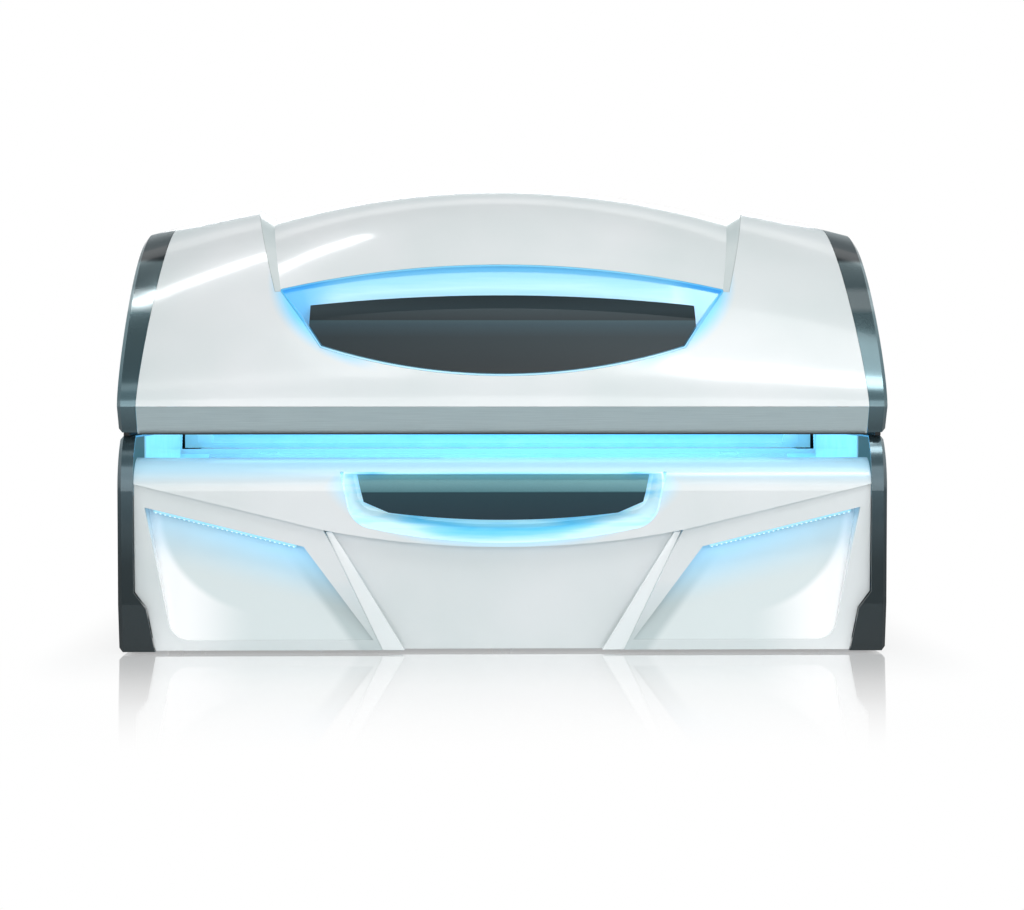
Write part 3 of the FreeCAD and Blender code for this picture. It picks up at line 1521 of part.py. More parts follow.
def wingOutline():
    inner = HALF - size.capStripWidth
    top = seamHeight(PANEL_HALF) + size.panelTuck
    return [(size.wingFootHalf, size.panelFoot),
            (size.seamKneeHalf - size.seam, size.coverTopHeight),
            (size.seamKneeHalf - size.seam, size.seamKneeHeight + size.panelTuck), (PANEL_HALF, top),
            (PANEL_HALF, size.flareTop), (inner - size.flareKneeWidth - size.seam, size.flareKnee),
            (inner - size.flareFootWidth - size.seam, size.panelFoot)]


def wingRecess(grow):
    outline = [(size.wingRecessInner, size.wingRecessInnerHeight),
               (size.wingRecessOuter, size.wingRecessOuterHeight),
               (size.wingRecessCorner, size.wingRecessCornerHeight),
               (size.wingRecessFootOuter, size.wingRecessFoot),
               (size.wingRecessFootInner, size.wingRecessFoot)]
    middleX = (size.wingRecessCorner + size.wingRecessFootOuter) / 2 + size.ledStripWidth
    middleZ = (size.wingRecessCornerHeight + size.wingRecessFoot) / 2 - size.ledStripHeight
    return prismAlongY(outline, {2: (middleX, middleZ)}, grow)


def recessBackY(z):
    """Back of the wing's recess: deep under the light strip, nearly flush at the foot."""
    low = size.wingRecessFoot
    high = size.wingRecessOuterHeight
    return line(z, low, wingY(low) + size.wingRecessLip, high, wingY(high) + size.wingRecessDepth)


def makeWing():
    """White side panel with its lit recess, and the wedge that steps back to the middle cover."""
    low, high = size.panelFoot, size.seamOuterHeight + size.panelTuck
    wall = size.wingWall
    frame = prismAlongY(wingOutline()).common(leaningSlab(wingY, low, high, wall)).cut(wingRecess(0))
    profile = [(wingY(low), low), (wingY(high), high), (recessBackY(high) + wall, high),
               (recessBackY(low) + wall, low)]
    depth = Part.Face(wireOf([Vector(0, y, z) for y, z in profile])).extrude(Vector(HALF, 0, 0))
    voidProfile = [(wingY(low) - wall, low), (wingY(high) - wall, high), (recessBackY(high), high),
                   (recessBackY(low), low)]
    void = Part.Face(wireOf([Vector(0, y, z) for y, z in voidProfile])).extrude(Vector(HALF, 0, 0))
    tray = wingRecess(wall).common(depth).cut(wingRecess(0).common(void))
    return frame.fuse([tray, makeRib()]).removeSplitter()


def makeRib():
    """Wedge beside the middle cover, a thin line at the top and a broad bevel at the foot."""
    wires = []
    for z, outerX, innerX in ((size.panelFoot, size.wingFootHalf, size.coverFootHalf),
                              (size.coverTopHeight, size.seamKneeHalf, size.coverTopHalf)):
        outerX = outerX - (size.seam if z > size.panelFoot else 0)
        back = coverY(z) + size.wingWall
        corners = [(outerX, wingY(z)), (innerX, coverY(z)), (innerX, back), (outerX, back)]
        wires.append(wireOf([Vector(x, y, z) for x, y in corners]))
    return Part.makeLoft(wires, True, True)


wingRight = makeWing()
addShape("bench_wing_panel_right", wingRight)
addShape("bench_wing_panel_left", mirrored(wingRight))


def makeLedStrips():
    """Light strips on the roof of each wing recess."""
    start = Vector(size.wingRecessInner, 0, size.wingRecessInnerHeight)
    end = Vector(size.wingRecessOuter, 0, size.wingRecessOuterHeight)
    way = end - start
    margin = size.ledStripWidth * 2
    length = way.Length - 2 * margin
    strip = Part.makeBox(length, size.ledStripWidth, size.ledStripHeight,
                         Vector(margin, 0, -size.ledStripHeight))
    depth = wingY(size.wingRecessInnerHeight) + size.wingRecessDepth / 3
    strip.Placement = Placement(start + Vector(0, depth, 0), Rotation(X_AXIS, way))
    return Part.makeCompound([strip, mirrored(strip)])


addShape("wing_light_strips", makeLedStrips())


def makeCover():
    """Middle cover under the glowing dish, set back between the two wedges."""
    tuck = size.coverTuck
    foot = size.coverFootHalf - size.seam
    top = size.coverTopHalf - 2 * size.seam
    outline = [(-foot, size.panelFoot), (foot, size.panelFoot),
               (top, size.seamKneeHeight + tuck), (-top, size.seamKneeHeight + tuck)]
    zone = prismAlongY(outline, {2: (0, size.seamMiddleHeight + tuck)})
    return zone.common(leaningSlab(coverY, size.panelFoot, size.seamKneeHeight + 2 * tuck, size.coverWall))


addShape("bench_middle_cover", makeCover())


# ---- bench: lying surface --------------------------------------------------------------------------

TROUGH = (size.benchCentreY, size.benchCentreZ)
TROUGH_TURN = math.degrees(math.asin((size.benchRearY - size.benchCentreY) / size.benchRadius))


def troughSheet(inner, outer, left, right, halfTurn):
    return ringSector(inner, outer, TROUGH, DOWNWARD - halfTurn, DOWNWARD + halfTurn, left, right)


lampTurn = size.benchLampStepAngle * size.benchLampCount / 2
addShape("bench_reflector", troughSheet(size.benchReflectorRadius, size.benchReflectorRadius + size.sheetWall,
                                        -size.lampHalf, size.lampHalf, lampTurn))

benchLamps = []
for index in range(int(size.benchLampCount)):
    turn = DOWNWARD + (index - (size.benchLampCount - 1) / 2) * size.benchLampStepAngle
    y, z = onRing(size.benchLampCircleRadius, turn, TROUGH)
    benchLamps.append(lampTube(-size.lampHalf, size.lampHalf, y, z))
addShape("bench_lamps", Part.makeCompound(benchLamps))

holder = troughSheet(size.benchReflectorRadius - size.holderWidth, size.benchReflectorRadius + size.sheetWall,
                     size.lampHalf, BULKHEAD_X, lampTurn)
addShape("bench_lampholders", Part.makeCompound([holder, mirrored(holder)]))


def benchEndCover():
    """The trough carried on past the acrylic's end, with an upright wall at its outer edge."""
    start = size.acrylicHalf + size.seam
    sheet = troughSheet(size.benchRadius, size.benchRadius + size.linerWall, start, PANEL_HALF, TROUGH_TURN)
    wallRear = size.strutBaseY + size.hingeEye
    upright = blockOf((PANEL_HALF - size.linerWall, size.benchFrontY, size.benchCentreZ - size.benchRadius),
                      (PANEL_HALF, wallRear, size.benchCapTop - size.capWall))
    return sheet.fuse(upright).removeSplitter()


endCover = benchEndCover()
addShape("bench_end_covers", Part.makeCompound([endCover, mirrored(endCover)]))

# deck behind the acrylic, with openings for the hinge and the struts at its ends
deckFrontY = "benchRearY + hingeEye - bracketPlate"
openFront = "strutTopY - 2 * hingeEye"
openRear = "hingeY + bracketGap"
openInner = "hingeX - hingePlate / 2 - 2 * bracketGap - bracketPlate"
trimHalf = "bedLength / 2 - capStripWidth - seam"
deck = addBody("bench_rear_deck")
deckOutline = addSketch(deck, "DeckOutline", "XY_Plane",
                        [[(f"-({trimHalf})", deckFrontY), (trimHalf, deckFrontY),
                          (trimHalf, openFront), (openInner, openFront), (openInner, openRear),
                          (trimHalf, openRear), (trimHalf, "rearCoverY"), (f"-({trimHalf})", "rearCoverY"),
                          (f"-({trimHalf})", openRear), (f"-({openInner})", openRear),
                          (f"-({openInner})", openFront), (f"-({trimHalf})", openFront)]],
                        "deckHeight - deckWall")
addPad(deck, "DeckSheet", deckOutline, "deckWall")
lipOutline = addSketch(deck, "LipOutline", "XY_Plane",
                       [rectangle((f"-({trimHalf})", deckFrontY), (trimHalf, f"{deckFrontY} + deckWall"))],
                       "deckHeight - hingeEye - bracketPlate")
addPad(deck, "DeckLip", lipOutline, "hingeEye + bracketPlate")

# rear cover with two columns of louvres, the duct opening and the cable's hole
cover = doc.addObject("PartDesign::Body", "RearCoverSheet")
coverOutline = addSketch(cover, "RearOutline", "XZ_Plane",
                         [rectangle((f"-({trimHalf})", "rearCoverFoot"),
                                    (trimHalf, "deckHeight"))], "-rearCoverY - deckWall")
addHole(coverOutline, "glandX", "glandZ", "glandRadius - tubeWall")
addPad(cover, "RearSheet", coverOutline, "deckWall")
doc.recompute()
louvres = addSketch(cover, "Louvres", "XZ_Plane",
                    [rectangle((f"{side} * louvreX - louvreWidth / 2", "louvreFoot"),
                               (f"{side} * louvreX + louvreWidth / 2", "louvreFoot + louvreHeight"))
                     for side in SIDES.values()], "-rearCoverY - deckWall")
slots = addPocket(cover, "LouvreSlots", louvres, "3 * deckWall", both=True)
rows = cover.newObject("PartDesign::LinearPattern", "LouvreRows")
rows.Originals = [slots]
rows.Direction = (louvres, ["V_Axis"])
bind(rows, "Length", "louvrePitch * (louvreCount - 1)")
bind(rows, "Occurrences", "louvreCount")
cover.Tip = rows

# round spigot for the exhaust duct, with its flange on the rear cover
spigotPieces = []
for name, radius, reach in (("Flange", "spigotFlange", "spigotFlangeWall"),
                            ("Tube", "spigotRadius", "spigotLength")):
    start = ("0", "rearCoverY + deckWall", "spigotHeight")
    spigotPieces.append(addCylinder(f"Spigot{name}", radius, reach, start, Y_AXIS))
spigotBore = addCylinder("SpigotBore", "spigotRadius - spigotWall", "2 * (spigotLength + deckWall)",
                         ("0", "rearCoverY - spigotLength", "spigotHeight"), Y_AXIS)
spigotBody = addFuse("SpigotOutside", [cover] + spigotPieces)
subPart(addCut("bench_rear_cover", spigotBody, spigotBore), "bench_rear_cover")

# cable gland at the rear cover's right end
glandNut = addPrism("GlandNut", "glandRadius", "glandLength", ("glandX", "rearCoverY + deckWall", "glandZ"))
glandNut.Placement.Rotation = Rotation(Z_AXIS, Y_AXIS)
glandBore = addCylinder("GlandBore", "glandBore", "glandLength + 2 * deckWall",
                        ("glandX", "rearCoverY", "glandZ"), Y_AXIS)
subPart(addCut("mains_gland", glandNut, glandBore), "mains_gland")


# ---- hinge of the bench acrylic --------------------------------------------------------------------

KNUCKLE_RADIUS = size.acrylicWall + size.seam
edgeDegrees = DOWNWARD + TROUGH_TURN
edgeTurn = math.radians(edgeDegrees)
edgeRing = size.benchRadius + size.benchAcrylicWall / 2
KNUCKLE = Vector(0, TROUGH[0] + edgeRing * math.cos(edgeTurn) - KNUCKLE_RADIUS * math.sin(edgeTurn),
                 TROUGH[1] + edgeRing * math.sin(edgeTurn) + KNUCKLE_RADIUS * math.cos(edgeTurn))
KNUCKLE_X = (-size.knuckleX, size.knuckleX)
LUG_X = size.knuckleLength / 2 + size.restGap + size.acrylicWall / 2


def rodAt(radius, length, x):
    return Part.makeCylinder(radius, length, KNUCKLE + Vector(x - length / 2, 0, 0), X_AXIS)


def barrelAt(x):
    """Flat-sided barrel on the sheet's rear edge, with one flat square to the edge."""
    half = FULL_TURN / size.knuckleSides / 2
    reach = KNUCKLE_RADIUS / math.cos(math.radians(half))
    corners = [Vector(x - size.knuckleLength / 2,
                      *onRing(reach, edgeDegrees + (2 * step + 1) * half, (KNUCKLE.y, KNUCKLE.z)))
               for step in range(int(size.knuckleSides))]
    return Part.Face(wireOf(corners)).extrude(Vector(size.knuckleLength, 0, 0))


acrylic = troughSheet(size.benchRadius, size.benchRadius + size.benchAcrylicWall,
                      -size.acrylicHalf, size.acrylicHalf, TROUGH_TURN)
barrels = [barrelAt(x) for x in KNUCKLE_X]
bores = [rodAt(size.knucklePin + size.runningGap, size.knuckleLength, x) for x in KNUCKLE_X]
addShape("bench_acrylic", acrylic.fuse(barrels).cut(Part.makeCompound(bores)))


def acrylicLugs():
    """Blocks on the deck's lip at both ends of each barrel, with the pin between them."""
    lipY = size.benchRearY + size.hingeEye - size.bracketPlate
    wall = size.acrylicWall
    lugs = []
    low, high = KNUCKLE.z - KNUCKLE_RADIUS, KNUCKLE.z + KNUCKLE_RADIUS
    for x in KNUCKLE_X:
        pieces = []
        for side in SIDES.values():
            middle = x + side * LUG_X
            pieces.append(blockOf((middle - wall / 2, KNUCKLE.y - size.knucklePin, low),
                                  (middle + wall / 2, lipY, high)))
        lugs.append(rodAt(size.knucklePin, 2 * LUG_X, x).fuse(pieces))
    return Part.makeCompound(lugs)


addShape("bench_acrylic_lugs", acrylicLugs())


# ---- bench: inner works ----------------------------------------------------------------------------

panHalf = "frameHalf - frameTube - tubeWall"
pan = addBody("bench_floor_pan")
panOutline = addSketch(pan, "PanOutline", "XY_Plane",
                       [rectangle((f"-({panHalf})", "-frameRailY - frameTube / 2"),
                                  (panHalf, "frameRailY + frameTube / 2"))], "frameBottom + frameTube")
for side in SIDES.values():
    addHole(panOutline, f"{side} * fanX", "0", "fanBore")
addPad(pan, "PanSheet", panOutline, "panWall")


def fanHousing(name, frame, height, bore, hub, x, y, low):
    """Square frame with a round air way and a cross bar that carries the motor's shaft."""
    box = addBox(f"{name}Frame", (frame, frame, height), (f"{x} - {frame} / 2", f"{y} - {frame} / 2", low))
    hole = addCylinder(f"{name}Bore", bore, height, (x, y, low))
    ring = addCut(f"{name}Ring", box, hole)
    bar = addBox(f"{name}Bar", (f"2 * {bore}", "2 * fanPost", "fanPost"),
                 (f"{x} - {bore}", f"{y} - fanPost", low))
    motor = addPrism(f"{name}Motor", hub, "2 * fanPost", (x, y, low))
    shaft = addCylinder(f"{name}Shaft", "fanPost", f"{height} - 2 * fanPost", (x, y, low))
    return addFuse(f"{name}Housing", [ring, bar, motor, shaft])


def impeller(label, radius, hub, x, y, low):
    """Hub on the motor's shaft with pitched flat blades."""
    body = addBody(label)
    hubLow = f"{low} + 3 * fanPost"
    turns = [f"{FULL_TURN} * {index} / bladeCount" for index in range(int(size.bladeCount))]
    outline = addSketch(body, f"{label}Hub", "XY_Plane",
                        [[(f"{hub} * cos({turn})", f"{hub} * sin({turn})") for turn in turns]], hubLow)
    addHole(outline, "0", "0", "fanPost + runningGap")
    addPad(body, f"{label}HubPad", outline, "hubHeight")
    blade = body.newObject("PartDesign::AdditiveBox", f"{label}Blade")
    bind(blade, "Length", f"{radius} - {hub} + fanPost")
    bind(blade, "Width", "bladeWidth")
    bind(blade, "Height", "bladeWall")
    plane = next(item for item in body.Origin.OriginFeatures if item.Role == "XY_Plane")
    blade.AttachmentSupport = [(plane, "")]
    blade.MapMode = "FlatFace"
    blade.AttachmentOffset = Placement(Vector(), Rotation(X_AXIS, size.bladePitchAngle))
    bind(blade, "AttachmentOffset.Base.x", f"{hub} - fanPost")
    bind(blade, "AttachmentOffset.Base.y", "-bladeWidth / 2 * cos(bladePitchAngle)")
    bind(blade, "AttachmentOffset.Base.z",
         f"{hubLow} + hubHeight / 2 - bladeWidth / 2 * sin(bladePitchAngle)")
    bind(blade, "AttachmentOffset.Rotation.Angle", "bladePitchAngle")
    doc.recompute()
    ring = body.newObject("PartDesign::PolarPattern", f"{label}Blades")
    ring.Originals = [blade]
    ring.Axis = (outline, ["N_Axis"])
    ring.Angle = FULL_TURN
    bind(ring, "Occurrences", "bladeCount")
    body.Tip = ring
    bind(body, "Placement.Base.x", x)
    bind(body, "Placement.Base.y", y)
    return body


benchFanLow = "(frameBottom + frameTube + panWall)"
housings = []
for name, side in SIDES.items():
    housings.append(fanHousing(f"BenchFan{name}", "fanFrame", "fanHeight", "fanBore", "hubRadius",
                               f"{side} * fanX", "0", benchFanLow))
    impeller(f"bench_fan_impeller_{name}", "impellerRadius", "hubRadius", f"{side} * fanX", "0", benchFanLow)
subPart(addGroup("bench_fan_housings", housings), "bench_fan_housings")

ballasts = []
for row, sign in (("Front", "-"), ("Rear", "")):
    for index in range(int(size.ballastCount)):
        offset = f"({index} - (ballastCount - 1) / 2) * ballastPitch"
        ballasts.append(addBox(f"Ballast{row}{index}", ("ballastLength", "ballastWidth", "ballastHeight"),
                               (f"{offset} - ballastLength / 2", f"{sign}ballastY - ballastWidth / 2",
                                benchFanLow)))
subPart(addGroup("ballasts", ballasts), "ballasts")
powerCase = addBox("PowerCase", ("powerLength", "powerWidth", "powerHeight"),
                   ("-powerLength / 2", "-powerWidth / 2", benchFanLow))
powerRoom = addBox("PowerRoom", ("powerLength - 2 * powerWall", "powerWidth - 2 * powerWall",
                                 "powerHeight - powerWall"),
                   ("-powerLength / 2 + powerWall", "-powerWidth / 2 + powerWall", benchFanLow))
subPart(addCut("power_unit", powerCase, powerRoom), "power_unit")


# ---- head end of the canopy: face tanner, control pod, air nozzles, fans ---------------------------

def faceHousing():
    """Box over the face, open below, with a flat roof; its walls pass through the acrylic."""
    low = size.faceBottom + size.filterWall + size.seam
    y0 = size.archCentreY - size.faceHalfWidth
    y1 = size.archCentreY + size.faceHalfWidth
    wall = size.faceWall
    shell = blockOf((size.faceLeft, y0, low), (size.faceRight, y1, size.faceTop))
    room = blockOf((size.faceLeft + wall, y0 + wall, 0),
                   (size.faceRight - wall, y1 - wall, size.faceTop - wall))
    return shell.cut(room)


def faceCells():
    """Middle and opening of each lamp cell over the face."""
    span = (size.faceRight - size.faceLeft - 2 * size.faceWall) / size.faceLampCount
    start = size.faceLeft + size.faceWall + span / 2
    return [(start + index * span, span) for index in range(int(size.faceLampCount))]


def faceReflectors():
    """Faceted funnels that hang from the housing's roof, one over each high-pressure lamp."""
    wall = size.faceReflectorWall
    top = size.faceTop - size.faceWall
    low = top - size.faceReflectorHeight
    cells = []
    footDepth = size.faceHalfWidth - 4 * size.faceWall
    for middle, span in faceCells():
        funnels = [flatFunnel(middle, (span / 2 - wall - inset, footDepth - inset, low),
                              (size.faceReflectorRoof - inset, size.faceHalfWidth / 2 - inset, top - inset))
                   for inset in (0, wall)]
        cells.append(funnels[0].cut(funnels[1]))
    return Part.makeCompound(cells)


def flatFunnel(middle, foot, roof):
    """A block with four slanting sides, from half widths and heights at its foot and roof."""
    rings = [[Vector(middle + a * halfX, size.archCentreY + b * halfY, z)
              for a, b in ((-1, -1), (1, -1), (1, 1), (-1, 1))] for halfX, halfY, z in (foot, roof)]
    sides = [[rings[0][k], rings[0][(k + 1) % 4], rings[1][(k + 1) % 4], rings[1][k]] for k in range(4)]
    faces = [Part.Face(wireOf(corners)) for corners in rings + sides]
    return Part.makeSolid(Part.makeShell(faces))


addShape("face_reflectors", faceReflectors())


def faceLamps():
    """High-pressure lamps on a post under each funnel's roof."""
    top = size.faceTop - size.faceWall - size.faceReflectorWall
    z = top - size.faceReflectorHeight / 3
    half = size.faceHalfWidth / 4
    lamps = []
    for middle, _ in faceCells():
        ring = [onRing(size.faceLampRadius, FULL_TURN * step / size.lampSides, (middle, z))
                for step in range(int(size.lampSides))]
        corners = [Vector(x, size.archCentreY - half, height) for x, height in ring]
        bulb = Part.Face(wireOf(corners)).extrude(Vector(0, 2 * half, 0))
        post = blockOf((middle - size.faceWall, size.archCentreY - half, z),
                       (middle + size.faceWall, size.archCentreY - half + 2 * size.faceWall, top))
        lamps.append(bulb.fuse(post))
    return Part.makeCompound(lamps)


addShape("face_lamps", faceLamps())

FILTER_PIN = Vector(0, size.archCentreY + size.faceHalfWidth - 2 * size.filterPinRadius,
                    size.faceBottom + size.filterWall / 2)


def filterFrame():
    """Drop-down frame of the face filter, with its hinge barrel at the rear."""
    gap = size.restGap
    left, right = size.faceLeft + gap, size.faceRight - gap
    y0 = size.archCentreY - size.faceHalfWidth + gap
    z0, z1 = size.faceBottom, size.faceBottom + size.filterWall
    border = size.filterBorder
    plate = blockOf((left, y0, z0), (right, FILTER_PIN.y, z1))
    window = blockOf((left + border, y0 + border, z0), (right - border, FILTER_PIN.y - border, z1))
    barrel = Part.makeCylinder(size.filterWall / 2, right - left - 4 * border,
                               Vector(left + 2 * border, FILTER_PIN.y, FILTER_PIN.z), X_AXIS)
    bore = Part.makeCylinder(size.filterPinRadius + size.runningGap, right - left,
                             Vector(left, FILTER_PIN.y, FILTER_PIN.z), X_AXIS)
    ears = [blockOf((left, FILTER_PIN.y - size.filterWall, z0), (left + 2 * border, FILTER_PIN.y, z1)),
            blockOf((right - 2 * border, FILTER_PIN.y - size.filterWall, z0), (right, FILTER_PIN.y, z1))]
    return plate.cut(window).cut(ears[0]).cut(ears[1]).fuse(barrel).cut(bore).removeSplitter()


addShape("face_filter_frame", filterFrame())


def filterGlass():
    border = size.filterBorder
    left, right = size.faceLeft + size.restGap + border, size.faceRight - size.restGap - border
    y0 = size.archCentreY - size.faceHalfWidth + size.restGap + border
    z0 = size.faceBottom + (size.filterWall - size.glassWall) / 2
    return blockOf((left, y0, z0), (right, FILTER_PIN.y - border, z0 + size.glassWall))


addShape("face_filter_glass", filterGlass())


def filterHinge():
    """Pin under the housing's rear wall and the two posts that hold it."""
    border = size.filterBorder
    left, right = size.faceLeft + size.restGap, size.faceRight - size.restGap
    pin = Part.makeCylinder(size.filterPinRadius, right - left - 2 * border,
                            Vector(left + border, FILTER_PIN.y, FILTER_PIN.z), X_AXIS)
    half = size.filterWall / 2 - 2 * size.restGap
    top = size.faceBottom + 2 * size.filterWall
    wallY = size.archCentreY + size.faceHalfWidth - size.faceWall
    posts = []
    armLow = top - size.filterWall + 2 * size.seam
    for x in (left + border, right - 2 * border + size.seam):
        end = x + border - size.seam
        posts.append(blockOf((x, FILTER_PIN.y - half, FILTER_PIN.z - half), (end, FILTER_PIN.y + half, top)))
        posts.append(blockOf((x, FILTER_PIN.y - half, armLow), (end, wallY, top)))
    return pin.fuse(posts)


addShape("face_lamp_housing", faceHousing().fuse(filterHinge()).removeSplitter())


BUTTON_X = [(size.podLeft + size.podRight) / 2 + (k - (size.buttonCount - 1) / 2) * size.buttonPitch
            for k in range(int(size.buttonCount))]
NOZZLE_X = {"left": size.podLeft + size.nozzleX, "right": size.podRight - size.nozzleX}
NOZZLE_Z = size.podBottom + size.nozzleRadius / 3


def squareRod(x, half, low, length):
    return blockOf((x - half, size.buttonY - half, low), (x + half, size.buttonY + half, low + length))


def controlPod():
    """Moulded block in the ceiling with wells for the buttons and troughs for the nozzles."""
    y0 = size.archCentreY - size.podHalfWidth
    y1 = size.archCentreY + size.podHalfWidth
    pod = blockOf((size.podLeft, y0, size.podBottom), (size.podRight, y1, size.podTop))
    well = size.buttonLength + size.buttonTravel + size.restGap - size.buttonProud
    for x in BUTTON_X:
        pod = pod.cut(squareRod(x, size.buttonHalf + size.runningGap, size.podBottom, well))
    for x in NOZZLE_X.values():
        start = Vector(x - size.nozzleLength / 2 - size.restGap, size.nozzleY, NOZZLE_Z)
        pod = pod.cut(Part.makeCylinder(size.nozzleRadius + size.runningGap,
                                        size.nozzleLength + 2 * size.restGap, start, X_AXIS))
    return pod


addShape("control_pod", controlPod())

for name, x in zip(("start", "fan", "face"), BUTTON_X):
    low = size.podBottom - size.buttonProud
    addShape(f"button_{name}", squareRod(x, size.buttonHalf, low, size.buttonLength))

for name, x in NOZZLE_X.items():
    start = Vector(x - size.nozzleLength / 2, size.nozzleY, NOZZLE_Z)
    roll = Part.makeCylinder(size.nozzleRadius, size.nozzleLength, start, X_AXIS)
    edge = size.faceWall
    slot = blockOf((start.x + edge, size.nozzleY - size.nozzleSlot / 2, NOZZLE_Z - size.nozzleRadius),
                   (start.x + size.nozzleLength - edge, size.nozzleY + size.nozzleSlot / 2, NOZZLE_Z))
    addShape(f"air_nozzle_{name}", roll.cut(slot))


def canopyFanSaddle():
    """Curved foot that stands on the reflector and carries the canopy's fan."""
    ring = reflectorIn + size.sheetWall
    low = size.archCentreZ + ring
    half = size.canopyFanFrame / 2
    wall = size.faceWall
    block = blockOf((size.canopyFanX - half, size.archCentreY - half, low - half / 2),
                    (size.canopyFanX + half, size.archCentreY + half, low + 2 * size.seam))
    room = blockOf((size.canopyFanX - half + wall, size.archCentreY - half + wall, 0),
                   (size.canopyFanX + half - wall, size.archCentreY + half - wall, FAR))
    under = Part.makeCylinder(ring, size.bedLength, Vector(-HALF, *ARCH), X_AXIS)
    item = doc.addObject("Part::Feature", "FanSaddle")
    item.Shape = block.cut(room).cut(under)
    return item


canopyFanLow = "(archCentreZ + canopyLampCircleRadius + holderWidth / 2 + sheetWall + seam)"
canopyFan = fanHousing("CanopyFan", "canopyFanFrame", "canopyFanHeight", "canopyFanBore", "canopyHubRadius",
                       "canopyFanX", "archCentreY", canopyFanLow)
subPart(addFuse("canopy_fan_housing", [canopyFan, canopyFanSaddle()]), "canopy_fan_housing")
impeller("canopy_fan_impeller", "canopyImpellerRadius", "canopyHubRadius", "canopyFanX", "archCentreY",
         canopyFanLow)


# ---- check and write ---------------------------------------------------------------------------

doc.recompute()
for item in doc.Objects:
    if any(flag in item.State for flag in ("Invalid", "Error")):
        raise RuntimeError(f"{item.Name} failed: {item.State}")

os.makedirs("parts", exist_ok=True)
for item in subParts:
    shape = item.Shape
    if shape.isNull() or not shape.isValid() or not shape.Solids:
        raise RuntimeError(f"{item.Label} has no valid solid")
    shape.exportStep(f"parts/{item.Label}.step")
print(len(subParts), "sub-parts written")
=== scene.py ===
import math
import bpy
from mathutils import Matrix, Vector


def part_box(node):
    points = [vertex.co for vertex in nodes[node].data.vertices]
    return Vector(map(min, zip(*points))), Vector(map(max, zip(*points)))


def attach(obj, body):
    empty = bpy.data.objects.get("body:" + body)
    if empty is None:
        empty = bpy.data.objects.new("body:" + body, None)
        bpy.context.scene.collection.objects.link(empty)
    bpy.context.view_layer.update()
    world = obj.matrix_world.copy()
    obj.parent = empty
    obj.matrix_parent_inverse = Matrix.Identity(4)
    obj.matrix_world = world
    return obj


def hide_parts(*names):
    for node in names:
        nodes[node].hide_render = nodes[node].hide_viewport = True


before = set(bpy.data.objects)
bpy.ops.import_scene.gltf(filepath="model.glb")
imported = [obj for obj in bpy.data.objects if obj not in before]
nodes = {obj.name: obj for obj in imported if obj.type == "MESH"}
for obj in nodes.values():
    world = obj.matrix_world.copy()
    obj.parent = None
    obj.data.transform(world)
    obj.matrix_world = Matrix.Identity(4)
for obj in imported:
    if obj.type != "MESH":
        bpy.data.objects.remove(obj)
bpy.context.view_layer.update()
print("loaded", len(nodes), "CAD nodes")

# nearly square on to the front, at the height of a standing person's chest
cameraSetup = {"place": (-0.10, -6.98, 0.80), "aim": (0.025, -0.68, 0.598), "lens": 74.04}


def aimAt(made, place, aim):
    made.location = place
    made.rotation_euler = (Vector(aim) - made.location).to_track_quat("-Z", "Y").to_euler()


def addCamera(setup):
    data = bpy.data.cameras.new("studioCamera")
    data.lens = setup["lens"]
    data.sensor_width = 36.0
    made = bpy.data.objects.new("studioCamera", data)
    bpy.context.scene.collection.objects.link(made)
    aimAt(made, setup["place"], setup["aim"])
    bpy.context.scene.camera = made


addCamera(cameraSetup)
bpy.context.scene.view_settings.view_transform = "Standard"


def hexToLinear(text):
    channels = [int(text[k:k + 2], 16) / 255 for k in (1, 3, 5)]
    return tuple(c / 12.92 if c <= 0.04045 else ((c + 0.055) / 1.055) ** 2.4 for c in channels) + (1.0,)


smooth = {"interpolation_type": "SMOOTHSTEP"}  # a range that eases in and out


def addNode(tree, kind, inputs=None, stops=None, **settings):
    made = tree.nodes.new("ShaderNode" + kind)
    for name, value in settings.items():
        setattr(made, name, value)
    for socket, value in (inputs or {}).items():
        if isinstance(value, bpy.types.Node):
            value = value.outputs[0]
        if isinstance(value, bpy.types.NodeSocket):
            tree.links.new(value, made.inputs[socket])
        else:
            made.inputs[socket].default_value = value
    if stops:  # colour ramp: (place, hex) pairs
        band = made.color_ramp
        band.elements[0].position, band.elements[0].color = stops[0][0], hexToLinear(stops[0][1])
        band.elements[1].position, band.elements[1].color = stops[-1][0], hexToLinear(stops[-1][1])
        for spot, colour in stops[1:-1]:
            band.elements.new(spot).color = hexToLinear(colour)
    return made


def startMaterial(name, **constants):
    made = bpy.data.materials.new(name)
    made.use_nodes = True
    shader = made.node_tree.nodes["Principled BSDF"]
    for socket, value in constants.items():
        shader.inputs[socket.replace("_", " ")].default_value = value
    return made, made.node_tree, shader


